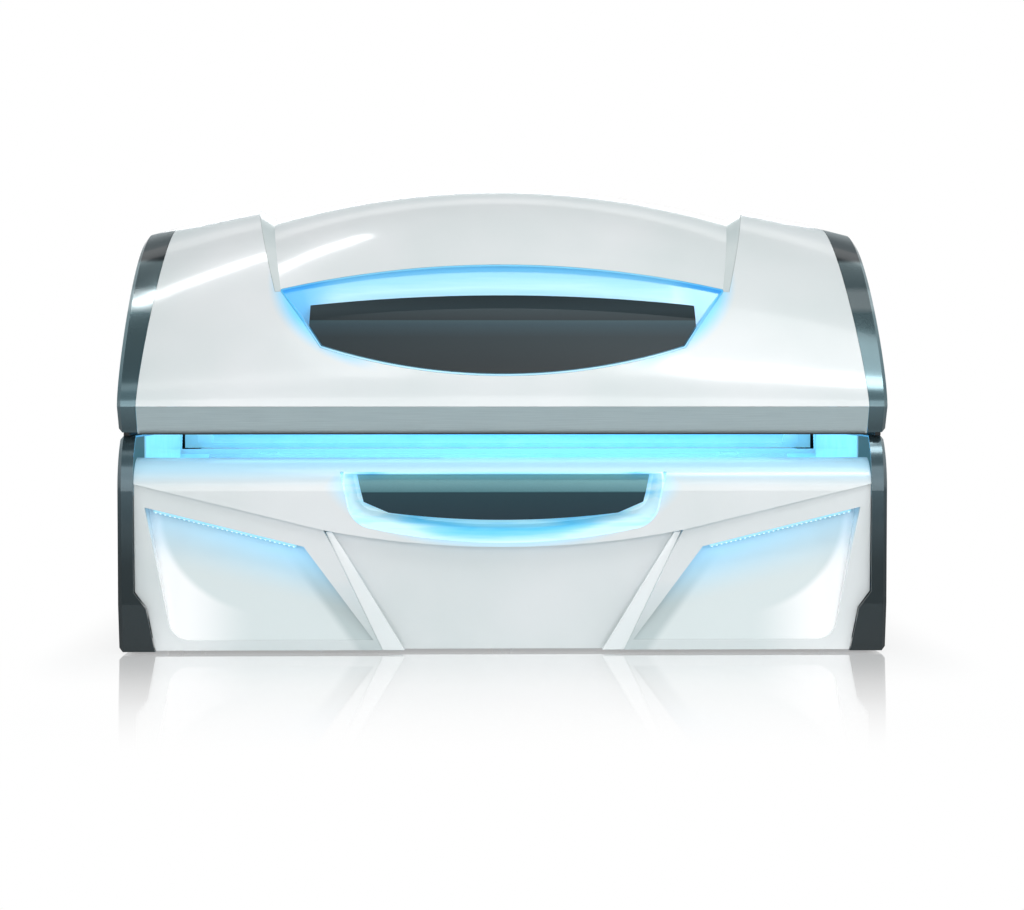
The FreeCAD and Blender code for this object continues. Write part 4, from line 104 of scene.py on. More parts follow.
# a white cove: pale floor that runs out to white, grey walls, one bright strip below a dark ceiling
studio = {"skyColour": "#f3f8fa", "skyStrength": 0.40, "floorColour": "#f4f6f7", "floorSheen": 0.46,
          "floorSize": 60.0, "footprint": (1.15, 0.68, 0.0), "fadeScale": (2.6, 1.0, 1.0), "fadeLength": 1.75,
          "whiteLength": 1.75 / 2.4, "nearWhite": 0.72, "mirrorRoughness": 0.05,
          "walls": [(0.0, "#ffffff"), (0.575, "#ffffff"), (0.60, "#c9d3d6"), (0.66, "#b1bdc1"),
                    (0.74, "#c3ced1"), (0.82, "#aab6ba"), (0.862, "#b6c2c6"), (0.868, "#ffffff"),
                    (0.905, "#ffffff"), (0.912, "#3b474b"), (0.96, "#29343a"), (1.0, "#1a2225")]}
softboxes = {
    "keyOverhead": {"place": (0.8, -2.2, 4.6), "aim": (0.3, 0, 0.8), "size": (3.8, 2.2), "power": 44},
    "roofStripLeft": {"place": (-1.60, 0.36, 4.65), "aim": (-1.60, 0.36, 0.0), "size": (1.4, 0.27),
                      "power": 11, "roll": 28, "skipsFloor": True},
    "roofBoardRight": {"place": (1.75, -2.9, 4.2), "aim": (0.95, -0.6, 0.95), "size": (1.7, 0.9), "power": 26,
                       "roll": -12, "skipsFloor": True},
    "fillFront": {"place": (0.0, -6.8, 2.0), "aim": (0, 0, 0.6), "size": (7.5, 3.4), "power": 130},
    "stripLeft": {"place": (-4.4, -2.6, 1.7), "aim": (-0.4, 0, 0.8), "size": (0.5, 2.6), "power": 13},
    "stripRight": {"place": (4.4, -2.6, 1.7), "aim": (0.4, 0, 0.8), "size": (0.5, 2.6), "power": 16},
    "backOverhead": {"place": (0.0, 4.2, 3.0), "aim": (0, 0, 0.8), "size": (4.0, 1.2), "power": 40},
}


def addStudio(setup):
    world = bpy.data.worlds.new("studioWorld")
    world.use_nodes = True
    tree = world.node_tree
    tree.nodes.clear()
    rays = addNode(tree, "LightPath")
    mirrored = addNode(tree, "Math", {0: rays.outputs["Is Glossy Ray"],
                                      1: rays.outputs["Is Transmission Ray"]}, operation="ADD",
                       use_clamp=True)
    way = addNode(tree, "SeparateXYZ", {0: addNode(tree, "TexCoord").outputs["Generated"]})
    height = addNode(tree, "MapRange", {"Value": way.outputs["Z"], "From Min": -1.0, "From Max": 1.0})
    walls = addNode(tree, "ValToRGB", {"Fac": height}, stops=setup["walls"])
    sky = addNode(tree, "Background", {"Color": hexToLinear(setup["skyColour"]),
                                       "Strength": setup["skyStrength"]})
    seenWalls = addNode(tree, "Background", {"Color": walls, "Strength": 1.0})
    white = addNode(tree, "Background", {"Color": (1, 1, 1, 1), "Strength": 1.0})
    lower = addNode(tree, "MixShader", {0: mirrored, 1: sky, 2: seenWalls})
    mixed = addNode(tree, "MixShader", {0: rays.outputs["Is Camera Ray"], 1: lower, 2: white})
    addNode(tree, "OutputWorld", {"Surface": mixed})
    bpy.context.scene.world = world

    bpy.ops.object.select_all(action="DESELECT")
    bpy.ops.mesh.primitive_plane_add(size=setup["floorSize"], location=(0, 0, 0))
    floor = bpy.context.object
    floor.name = "studioFloor"
    made, tree, shader = startMaterial("paleStudioFloor", Base_Color=hexToLinear(setup["floorColour"]),
                                       Roughness=0.6)
    # how far a point lies outside the object's footprint, as a share of the fade
    place = addNode(tree, "TexCoord").outputs["Object"]
    folded = addNode(tree, "VectorMath", {0: place}, operation="ABSOLUTE")
    beyond = addNode(tree, "VectorMath", {0: folded, 1: setup["footprint"]}, operation="SUBTRACT")
    outside = addNode(tree, "VectorMath", {0: beyond, 1: (0, 0, 0)}, operation="MAXIMUM")
    scaled = addNode(tree, "VectorMath", {0: outside, 1: setup["fadeScale"]}, operation="MULTIPLY")
    far = addNode(tree, "VectorMath", {0: scaled}, operation="LENGTH")
    fade = addNode(tree, "MapRange", {"Value": far.outputs["Value"], "From Max": setup["whiteLength"],
                                      "To Min": setup["nearWhite"], "To Max": 1.0}, **smooth)
    mirrored = addNode(tree, "MapRange", {"Value": far.outputs["Value"], "From Max": setup["fadeLength"],
                                          "To Min": setup["floorSheen"], "To Max": 0.0}, **smooth)
    rays = addNode(tree, "LightPath")
    share = addNode(tree, "Math", {0: rays.outputs["Is Camera Ray"], 1: fade}, operation="MULTIPLY")
    plain = addNode(tree, "Emission", {"Color": (1, 1, 1, 1), "Strength": 1.0})
    sheen = addNode(tree, "BsdfGlossy", {"Color": (1, 1, 1, 1), "Roughness": setup["mirrorRoughness"]})
    lit = addNode(tree, "MixShader", {0: share, 1: shader, 2: plain})
    mirror = addNode(tree, "MixShader", {0: mirrored, 1: lit, 2: sheen})
    tree.links.new(mirror.outputs[0], tree.nodes["Material Output"].inputs["Surface"])
    floor.data.materials.append(made)


def addSoftboxes(boxes):
    offFloor = bpy.data.collections.new("allButFloor")
    offFloor.objects.link(bpy.data.objects["studioFloor"])
    offFloor.collection_objects[0].light_linking.link_state = "EXCLUDE"
    for name, box in boxes.items():
        data = bpy.data.lights.new(name, "AREA")
        data.shape = "RECTANGLE"
        data.size, data.size_y = box["size"]
        data.energy = box["power"]
        made = bpy.data.objects.new(name, data)
        bpy.context.scene.collection.objects.link(made)
        aimAt(made, box["place"], box["aim"])
        made.rotation_euler.rotate_axis("Z", math.radians(box.get("roll", 0)))
        made.visible_camera = False
        if box.get("skipsFloor"):  # a roof lamp gives the object its sheen and isn't mirrored in the floor
            made.light_linking.receiver_collection = offFloor


addStudio(studio)
addSoftboxes(softboxes)
print("studio ready")


def addGrain(tree, shader, grainMm, depthMm, strength=0.35, stretch=(1, 1, 1)):
    # fine relief: grainMm is the real width of one grain or ripple
    place = addNode(tree, "Mapping", {"Vector": addNode(tree, "TexCoord").outputs["Object"],
                                      "Scale": stretch})
    noise = addNode(tree, "TexNoise", {"Vector": place, "Scale": 1000 / grainMm, "Detail": 2.0})
    bump = addNode(tree, "Bump", {"Height": noise.outputs["Fac"], "Strength": strength,
                                  "Distance": depthMm / 1000})
    tree.links.new(bump.outputs["Normal"], shader.inputs["Normal"])
    return noise.outputs["Fac"]


def addClouding(tree, shader, cloudMm, low, high):
    # slow drift of colour over a moulded or sprayed face
    place = addNode(tree, "TexCoord").outputs["Object"]
    noise = addNode(tree, "TexNoise", {"Vector": place, "Scale": 1000 / cloudMm, "Detail": 2.0})
    ramp = addNode(tree, "ValToRGB", {"Fac": noise.outputs["Fac"]}, stops=[(0.3, low), (0.7, high)])
    tree.links.new(ramp.outputs["Color"], shader.inputs["Base Color"])
    return ramp.outputs["Color"]


shellValues = {"light": "#eceff0", "dark": "#e0e7e7", "cloudMm": 420, "peelMm": 6.0, "peelDepthMm": 0.02,
               "roughness": 0.24, "coat": 0.75, "coatRoughness": 0.09}


def glossWhiteAbs(name):
    # vacuum formed ABS with an acrylic cap layer: broad soft highlights over a cool white, slight ripple
    made, tree, shader = startMaterial(name, Roughness=shellValues["roughness"],
                                       Coat_Weight=shellValues["coat"],
                                       Coat_Roughness=shellValues["coatRoughness"], IOR=1.49)
    colour = addClouding(tree, shader, shellValues["cloudMm"], shellValues["dark"], shellValues["light"])
    addGrain(tree, shader, shellValues["peelMm"], shellValues["peelDepthMm"])
    return made, tree, shader, colour


def sideways(tree):
    # how far a face turns towards the object's two ends, from 0 to 1
    normal = addNode(tree, "VectorMath", {0: addNode(tree, "NewGeometry").outputs["Normal"]},
                     operation="ABSOLUTE")
    return addNode(tree, "SeparateXYZ", {0: normal}).outputs["X"]


# painted shade tone for the roof step's flanks, and the range of turn over which it comes in
flankValues = {"tone": "#bccac9", "from": 0.35, "to": 0.60}


def shadedFlanks(name, values):
    # painted shade: the steep flanks of the roof's step are coloured greyer than its broad faces, by how far
    # each face turns towards the ends
    made, tree, shader, white = glossWhiteAbs(name)
    steep = addNode(tree, "MapRange", {"Value": sideways(tree), "From Min": values["from"],
                                       "From Max": values["to"]})
    mixed = addNode(tree, "Mix", {0: steep, 6: white, 7: hexToLinear(values["tone"])}, data_type="RGBA")
    tree.links.new(mixed.outputs[2], shader.inputs["Base Color"])
    return made


def objectAxes(tree, folded=False):
    # a point's place on the piece, mirrored to the positive side when folded, and its three axes apart
    place = addNode(tree, "TexCoord").outputs["Object"]
    if folded:
        place = addNode(tree, "VectorMath", {0: place}, operation="ABSOLUTE").outputs[0]
    return place, addNode(tree, "SeparateXYZ", {0: place}).outputs


def ellipseShare(tree, place, centre, half):
    # 1 in the middle of an upright ellipse, seen along Y, falling to 0 on its edge
    framed = addNode(tree, "Mapping", {"Vector": place, "Scale": (1 / half[0], 0, 1 / half[1]),
                                       "Location": (-centre[0] / half[0], 0, -centre[1] / half[1])})
    return addNode(tree, "TexGradient", {"Vector": framed}, gradient_type="SPHERICAL").outputs["Fac"]


def paintedGlow(tree, shader, white, share, tint, strength):
    # painted glow: the base colour is mixed towards the lamps' tint by share, and the same share is made to
    # emit, standing in for the lamps' light coming through the translucent cap layer
    mixed = addNode(tree, "Mix", {0: share, 6: white, 7: hexToLinear(tint)}, data_type="RGBA")
    tree.links.new(mixed.outputs[2], shader.inputs["Base Color"])
    shader.inputs["Emission Color"].default_value = hexToLinear(tint)
    power = addNode(tree, "Math", {0: share, 1: strength}, operation="MULTIPLY")
    tree.links.new(power.outputs[0], shader.inputs["Emission Strength"])


noseGlow = {"lowZ": 0.496, "highZ": 0.570, "tint": "#b6e2f6", "strength": 0.22,
            "dishCentre": 0.547, "dishHalf": (0.482, 0.213), "reach": 1.16, "fade": 0.15}


def litNoseAbs(values):
    # painted light: the trim's rolled nose, more towards its top, and a band round the dish are tinted and
    # made to glow, standing in for the lamps' light on the nose and the lit dish glowing through its edge
    made, tree, shader, white = glossWhiteAbs("litNoseAbs")
    place, axes = objectAxes(tree)
    nose = addNode(tree, "MapRange", {"Value": axes["Z"], "From Min": values["lowZ"],
                                      "From Max": values["highZ"]}, **smooth)
    half = [reach * values["reach"] for reach in values["dishHalf"]]
    ring = ellipseShare(tree, place, (0, values["dishCentre"]), half)
    around = addNode(tree, "MapRange", {"Value": ring, "From Max": values["fade"]}, **smooth)
    both = addNode(tree, "Math", {0: nose, 1: around}, operation="MAXIMUM")
    paintedGlow(tree, shader, white, both, values["tint"], values["strength"])
    return made


# painted glow, painted shade tones and a painted highlight for the wing panels' sunk trays
trayGlow = {"across": (0.243, 0.0, -0.970), "offset": 0.1665, "reach": 0.17, "innerX": 0.64, "outerX": 1.10,
            "outerShare": 0.45, "sunkY": (0.645, 0.658), "tint": "#a4e0fc", "strength": 0.12,
            "sunkShadeTone": "#d6e0e0", "innerWall": (0.8048, 0.0, -0.5936), "innerSpan": (0.3317, 0.3617),
            "innerShadeTone": "#b3c2c3", "bowlCentre": (0.683, 0.426), "bowlHalf": (0.368, 0.322),
            "bowlEdge": 0.07, "cornerX": (0.74, 0.97), "outerHighlightTone": "#ffffff"}


def litTrayAbs(values):
    # painted glow: below the light strip the sunk face is tinted and made to emit, dying out over a hand's
    # width, in place of the strip's light washing down it
    made, tree, shader, white = glossWhiteAbs("litTrayAbs")
    folded, axes = objectAxes(tree, folded=True)
    below = addNode(tree, "VectorMath", {0: folded, 1: values["across"]}, operation="DOT_PRODUCT")
    wash = addNode(tree, "MapRange", {"Value": below.outputs["Value"], "From Min": -values["offset"],
                                      "From Max": values["reach"] - values["offset"], "To Min": 1.0,
                                      "To Max": 0.0}, **smooth)
    along = addNode(tree, "MapRange", {"Value": axes["X"], "From Min": values["innerX"],
                                       "From Max": values["outerX"], "To Min": 1.0,
                                       "To Max": values["outerShare"]})
    sunk = addNode(tree, "MapRange", {"Value": axes["Y"], "From Min": values["sunkY"][0],
                                      "From Max": values["sunkY"][1], "To Min": 1.0, "To Max": 0.0})
    share = addNode(tree, "Math", {0: wash, 1: along}, operation="MULTIPLY")
    share = addNode(tree, "Math", {0: share, 1: sunk}, operation="MULTIPLY")
    # painted shade and highlight: the sunk floor is painted a tone greyer, its inner side is painted darker
    # as its own shade, and its outer side is painted white where it catches the light
    white = addNode(tree, "Mix", {0: sunk, 6: white, 7: hexToLinear(values["sunkShadeTone"])},
                    data_type="RGBA").outputs[2]
    inner = addNode(tree, "VectorMath", {0: folded, 1: values["innerWall"]}, operation="DOT_PRODUCT")
    shade = addNode(tree, "MapRange", {"Value": inner.outputs["Value"], "From Min": values["innerSpan"][0],
                                       "From Max": values["innerSpan"][1], "To Min": 1.0, "To Max": 0.0},
                    **smooth)
    bowl = ellipseShare(tree, folded, values["bowlCentre"], values["bowlHalf"])
    corner = addNode(tree, "MapRange", {"Value": axes["X"], "From Min": values["cornerX"][0],
                                        "From Max": values["cornerX"][1]}, **smooth)
    highlightShare = addNode(tree, "MapRange", {"Value": bowl, "From Max": values["bowlEdge"], "To Min": corner,
                                       "To Max": 0.0}, **smooth)
    for side, tone in ((shade, values["innerShadeTone"]), (highlightShare, values["outerHighlightTone"])):
        held = addNode(tree, "Math", {0: side, 1: sunk}, operation="MULTIPLY")
        white = addNode(tree, "Mix", {0: held, 6: white, 7: hexToLinear(tone)}, data_type="RGBA").outputs[2]
    paintedGlow(tree, shader, white, share, values["tint"], values["strength"])
    return made


bandValues = {"centre": -2.52, "arcSpan": 4.0, "innerArc": 3.52, "outerArc": 3.70, "emission": 0.22,
              "sideX": (0.50, 0.61), "sideTone": "#5cbcf0",
              "stops": [(0.0, "#a5dcf2"), (0.30, "#c0dcee"), (0.48, "#94d2f0"), (0.62, "#a6dff4"),
                        (0.80, "#84cdf1"), (1.0, "#7fcdef")]}
dishValues = {"centre": 0.547, "half": (0.482, 0.213), "emission": 0.37,
              "stops": [(0.0, "#c9effb"), (0.10, "#86d6f9"), (0.17, "#63caf7"), (0.28, "#9fe3fa"),
                        (0.42, "#a6e8f8"), (1.0, "#8cdaf7")]}


def litOpalAcrylic(name, values):
    # opal cast acrylic with painted glow: it is made to emit its own colour, and colour bands brighter along
    # its folds stand in for the lamps' light from behind; drawn-out streaks and a hard gloss skin
    made, tree, shader = startMaterial(name, Roughness=0.18, Coat_Weight=0.8, Coat_Roughness=0.04, IOR=1.49,
                                       Emission_Strength=values["emission"])
    place = addNode(tree, "TexCoord").outputs["Object"]
    centre, half, reach = (0, values["centre"]), values.get("half"), (0.0, 1.0)
    if "arcSpan" in values:
        half = (values["arcSpan"], values["arcSpan"])
        reach = [1 - arc / values["arcSpan"] for arc in (values["innerArc"], values["outerArc"])]
    rings = ellipseShare(tree, place, centre, half)
    share = addNode(tree, "MapRange", {"Value": rings, "From Min": reach[0], "From Max": reach[1]})
    drawn = addNode(tree, "Mapping", {"Vector": place, "Scale": (1.2, 6.0, 14.0)})
    streak = addNode(tree, "TexNoise", {"Vector": drawn, "Scale": 3.0, "Detail": 2.0})
    drift = addNode(tree, "MapRange", {"Value": streak.outputs["Fac"], "From Min": 0.3, "From Max": 0.7,
                                       "To Min": -0.05, "To Max": 0.05})
    moved = addNode(tree, "Math", {0: share, 1: drift}, operation="ADD", use_clamp=True)
    colour = addNode(tree, "ValToRGB", {"Fac": moved}, stops=values["stops"]).outputs["Color"]
    # painted glow: the band's deep ends glow an even stronger blue
    if "sideX" in values:  # the deep ends of the band are an even stronger blue
        ends = addNode(tree, "MapRange", {"Value": objectAxes(tree, folded=True)[1]["X"],
                                          "From Min": values["sideX"][0], "From Max": values["sideX"][1]},
                       **smooth)
        colour = addNode(tree, "Mix", {0: ends, 6: colour, 7: hexToLinear(values["sideTone"])},
                         data_type="RGBA").outputs[2]
    tree.links.new(colour, shader.inputs["Base Color"])
    tree.links.new(colour, shader.inputs["Emission Color"])
    return made


shellGlow = {"centre": (0.25, 1.14), "half": (0.482, 0.313), "foldX": (0.36, 0.50), "fade": 0.14,
             "tint": "#72cdf6", "strength": 0.30}


def litShellAbs(values):
    # painted glow: the shell's skin round the light band is tinted and made to glow for a finger's width,
    # most at the band's ends
    made, tree, shader, white = glossWhiteAbs("litShellAbs")
    folded, axes = objectAxes(tree, folded=True)
    ring = ellipseShare(tree, folded, values["centre"], values["half"])
    around = addNode(tree, "MapRange", {"Value": ring, "From Max": values["fade"]}, **smooth)
    ends = addNode(tree, "MapRange", {"Value": axes["X"], "From Min": values["foldX"][0],
                                      "From Max": values["foldX"][1]}, **smooth)
    share = addNode(tree, "Math", {0: around, 1: ends}, operation="MULTIPLY")
    paintedGlow(tree, shader, white, share, values["tint"], values["strength"])
    return made


# colour and painted sheen by height, from the lowest to the highest point of span, in metres above the floor:
# each lacquer's own tone with painted reflection bands, painted highlights and painted shade low down
lacquers = {
    "anthracitePearlLacquer": {
        "metallic": 0.7, "roughness": 0.17, "coat": 0.4, "span": (0.0, 1.35), "sideTone": "#475a60",
        "sideNormal": (0.80, 0.97),
        "colourAndSheenByHeight": [(0.0, "#141f22"), (0.20, "#1c2a2e"), (0.40, "#44565d"), (0.47, "#5a7077"),
                  (0.50, "#3f5258"), (0.60, "#6a848b"), (0.762, "#7b959b"), (0.776, "#bccbce"),
                  (0.812, "#bccbce"), (0.826, "#7d9196"), (0.884, "#9aadb1"), (0.892, "#2a3438"),
                  (1.0, "#2a3438")]},
    "graphitePearlLacquer": {
        "metallic": 0.30, "roughness": 0.42, "coat": 0.12, "span": (0.84, 1.09),
        "colourAndSheenByHeight": [(0.0, "#101c20"), (0.45, "#182a30"), (0.60, "#28404a"), (0.655, "#324c54"),
                  (0.665, "#1c2a2f"), (0.80, "#2c3c42"), (1.0, "#222f34")]},
    "petrolPearlLacquer": {
        "metallic": 0.30, "roughness": 0.40, "coat": 0.12, "span": (0.402, 0.540),
        "colourAndSheenByHeight": [(0.0, "#0a2c38"), (0.60, "#113a45"), (0.615, "#44747d"), (0.85, "#6b9ba0"),
                  (1.0, "#8cbcbe")]},
}
flakeMm = 2.0


def pearlLacquer(name):
    # metallic lacquer under clear coat: deep grey face with crisp reflections; flakes drawn coarser to show
    setup = lacquers[name]
    made, tree, shader = startMaterial(name, Roughness=setup["roughness"], Metallic=setup["metallic"],
                                       Coat_Weight=setup["coat"], Coat_Roughness=0.04)
    place, axes = objectAxes(tree)
    # painted reflections and shade: the base colour follows the height bands listed for each lacquer
    rise = addNode(tree, "MapRange", {"Value": axes["Z"], "From Min": setup["span"][0],
                                      "From Max": setup["span"][1]})
    tone = addNode(tree, "ValToRGB", {"Fac": rise}, stops=setup["colourAndSheenByHeight"])
    flake = addNode(tree, "TexVoronoi", {"Vector": place, "Scale": 1000 / flakeMm})
    spark = addNode(tree, "MapRange", {"Value": flake.outputs["Distance"], "From Max": 0.7, "To Min": 1.12,
                                       "To Max": 0.94})
    # painted reflections: the light and dark height bands keep to the rounded faces, and flat outer sides
    # take one even tone
    if "sideTone" in setup:  # flat outer sides are even, the sheen in bands keeps to the rounded faces
        sides = addNode(tree, "MapRange", {"Value": sideways(tree), "From Min": setup["sideNormal"][0],
                                           "From Max": setup["sideNormal"][1]})
        tone = addNode(tree, "Mix", {0: sides, 6: tone, 7: hexToLinear(setup["sideTone"])},
                       data_type="RGBA").outputs[2]
    lit = addNode(tree, "VectorMath", {0: tone, 3: spark}, operation="SCALE")
    tree.links.new(lit.outputs[0], shader.inputs["Base Color"])
    addGrain(tree, shader, 8.0, 0.02, 0.2)
    return made


def drawnMetal(name, light, dark, roughness, lineMm, metallic=1.0, along=0):
    # rolled, drawn or brushed metal: fine lines along one axis that stretch the highlights
    made, tree, shader = startMaterial(name, Roughness=roughness, Metallic=metallic, Anisotropic=0.4)
    stretch = [1.0, 1.0, 1.0]
    stretch[along] = 0.01
    lines = addGrain(tree, shader, lineMm, 0.02, 0.25, stretch)
    ramp = addNode(tree, "ValToRGB", {"Fac": lines}, stops=[(0.3, dark), (0.7, light)])
    tree.links.new(ramp.outputs["Color"], shader.inputs["Base Color"])
    return made


def powderCoat(name, light, dark, roughness=0.5, grainMm=1.6):
    # baked powder on sheet steel: even matt sheen broken by a fine pebble grain
    made, tree, shader = startMaterial(name, Roughness=roughness)
    grain = addGrain(tree, shader, grainMm, 0.06, 0.4)
    ramp = addNode(tree, "ValToRGB", {"Fac": grain}, stops=[(0.35, dark), (0.65, light)])
    tree.links.new(ramp.outputs["Color"], shader.inputs["Base Color"])
    return made


deckGlow = {"frontY": 0.360, "backY": 0.470, "tint": "#a4def5", "strength": 0.36}


def litDeckCoat(values):
    # pale powder coat with painted light: its front flange is tinted and made to glow, standing in for the
    # lamps' light on it
    made = powderCoat("litDeckPowderCoat", "#cdd2d3", "#c1c7c8")
    tree, shader = made.node_tree, made.node_tree.nodes["Principled BSDF"]
    white = shader.inputs["Base Color"].links[0].from_socket
    share = addNode(tree, "MapRange", {"Value": objectAxes(tree)[1]["Y"], "From Min": values["frontY"],
                                       "From Max": values["backY"], "To Min": 1.0, "To Max": 0.0}, **smooth)
    paintedGlow(tree, shader, white, share, values["tint"], values["strength"])
    return made


def mouldedPlastic(name, light, dark, roughness, grainMm, depthMm=0.05, coat=0.0):
    # injection moulded part with a spark-eroded grain: soft speckled sheen
    made, tree, shader = startMaterial(name, Roughness=roughness, Coat_Weight=coat, Coat_Roughness=0.08)
    addClouding(tree, shader, 60, dark, light)
    addGrain(tree, shader, grainMm, depthMm, 0.4)
    return made


def castAcrylic(name, tint, edge, alpha, emission, lowZ, highZ):
    # cast acrylic sheet: clear with a blue cast, long soft streaks, and painted glow: it is made to emit its
    # own colour, shifting to the edge colour towards its top
    made, tree, shader = startMaterial(name, Roughness=0.05, Alpha=alpha, IOR=1.49,
                                       Emission_Strength=emission)
    place, axes = objectAxes(tree)
    rise = addNode(tree, "MapRange", {"Value": axes["Z"], "From Min": lowZ, "From Max": highZ})
    drawn = addNode(tree, "Mapping", {"Vector": place, "Scale": (0.8, 7.0, 7.0)})
    streak = addNode(tree, "TexNoise", {"Vector": drawn, "Scale": 3.0, "Detail": 3.0})
    both = addNode(tree, "Math", {0: streak.outputs["Fac"], 1: -0.5}, operation="ADD")
    both = addNode(tree, "Math", {0: both, 1: rise}, operation="ADD", use_clamp=True)
    ramp = addNode(tree, "ValToRGB", {"Fac": both}, stops=[(0.0, tint), (1.0, edge)])
    tree.links.new(ramp.outputs["Color"], shader.inputs["Base Color"])
    tree.links.new(ramp.outputs["Color"], shader.inputs["Emission Color"])
    return made


lampFade = 0.14


def litLampGlass(name, middle, ends, halfLength, strength):
    # phosphor coated tube: even blue-white glow that darkens over the last hand's width at each end
    made, tree, shader = startMaterial(name, Base_Color=hexToLinear("#eef8ff"), Roughness=0.2,
                                       Coat_Weight=0.5, Emission_Strength=strength)
    share = addNode(tree, "MapRange", {"Value": objectAxes(tree, folded=True)[1]["X"],
                                       "From Min": halfLength - lampFade, "From Max": halfLength})
    ramp = addNode(tree, "ValToRGB", {"Fac": share}, stops=[(0.0, middle), (0.6, middle), (1.0, ends)])
    tree.links.new(ramp.outputs["Color"], shader.inputs["Emission Color"])
    return made


finishes = {
    "shell": glossWhiteAbs("glossWhiteAbs")[0],
    "crown": shadedFlanks("glossWhiteCrownAbs", flankValues),
    "rib": glossWhiteAbs("glossWhiteRibAbs")[0],
    "nose": litNoseAbs(noseGlow),
    "tray": litTrayAbs(trayGlow),
    "glowShell": litShellAbs(shellGlow),
    "cap": pearlLacquer("anthracitePearlLacquer"),
    "plate": pearlLacquer("graphitePearlLacquer"),
    "badge": pearlLacquer("petrolPearlLacquer"),
    "band": litOpalAcrylic("litOpalBand", bandValues),
    "dish": litOpalAcrylic("litOpalDish", dishValues),
    "rail": drawnMetal("anodisedAluminiumProfile", "#bfcdcf", "#b0bfc2", 0.36, 1.2, 0.55),
    "frame": powderCoat("greyPowderCoat", "#6f7679", "#646b6e"),
    "sheet": powderCoat("paleGreyPowderCoat", "#cdd2d3", "#c1c7c8"),
    "deck": litDeckCoat(deckGlow),
    "box": powderCoat("silverGreyPowderCoat", "#a3a9ac", "#979da0", 0.42),
    "reflector": drawnMetal("brightRolledAluminium", "#e4e7ea", "#d6dadd", 0.16, 2.5),
    "holder": mouldedPlastic("whiteHolderThermoplastic", "#e9ecec", "#dfe3e4", 0.4, 1.2),
    "black": powderCoat("blackStoveEnamel", "#191b1d", "#131416", 0.28, 3.0),
    "chrome": drawnMetal("hardChromedRod", "#e2e4e6", "#d8dadd", 0.07, 0.6, 1.0, 2),
    "rubber": mouldedPlastic("blackNitrileRubber", "#202122", "#191a1b", 0.8, 2.0, 0.12),
    "pod": mouldedPlastic("grainedAnthracitePlastic", "#3c454a", "#333b40", 0.5, 1.0, 0.08),
    "nozzle": mouldedPlastic("satinGreyNozzlePlastic", "#5b6266", "#50575b", 0.38, 1.2),
    "key": mouldedPlastic("whiteKeyPlastic", "#e6eaec", "#dde2e5", 0.25, 3.0, 0.02, 0.6),
    "fan": mouldedPlastic("glassFilledNylon", "#202325", "#181a1c", 0.55, 0.9, 0.1),
    "gland": mouldedPlastic("blackNylonGland", "#1b1c1e", "#151617", 0.5, 1.5),
    "acrylic": castAcrylic("clearBlueCastAcrylic", "#b9e6fa", "#6ac8f0", 0.38, 0.39, 0.60, 0.66),
    "lyingSheet": castAcrylic("clearLyingAcrylic", "#d5f0fb", "#a0daf3", 0.34, 0.38, 0.44, 0.60),
    "liner": mouldedPlastic("opalEndLinerPlastic", "#c9effb", "#b3e6f8", 0.3, 2.0, 0.02, 0.4),
    "tube": litLampGlass("litPhosphorTube", "#a6e9f9", "#6a63d8", 0.95, 1.1),
    "burner": litLampGlass("litQuartzBurner", "#dbeeff", "#9db7ff", 0.95, 1.0),
    "filter": castAcrylic("cobaltFilterGlass", "#5c8fd6", "#3f6fc4", 0.6, 0.12, 0.95, 0.96),
    "filterRim": drawnMetal("brushedFilterRim", "#a9adb2", "#9a9ea3", 0.3, 0.8),
    "zinc": drawnMetal("zincPlatedSteel", "#cfd0cc", "#bfc0bb", 0.3, 0.7),
    "brass": drawnMetal("brassContactPin", "#d6b465", "#c4a152", 0.25, 0.5),
    "led": litLampGlass("litLedLens", "#b9ecff", "#b9ecff", 3.0, 1.3),
    "seal": mouldedPlastic("opalSiliconeSeal", "#c4ecf8", "#aee2f5", 0.5, 1.5),
    "display": mouldedPlastic("smokedDisplayGlass", "#12171a", "#0d1113", 0.08, 20.0, 0.01, 1.0),
}
# painted light: these finishes are made to glow with a share of the lamps' light inside or of the floor's
# bounce
for finish, colour, strength in (("liner", "#8fdaf2", 0.44), ("seal", "#8cd9f3", 0.42),
                                 ("rib", "#f4f8f9", 0.10)):
    shader = finishes[finish].node_tree.nodes["Principled BSDF"]
    shader.inputs["Emission Color"].default_value = hexToLinear(colour)
    shader.inputs["Emission Strength"].default_value = strength

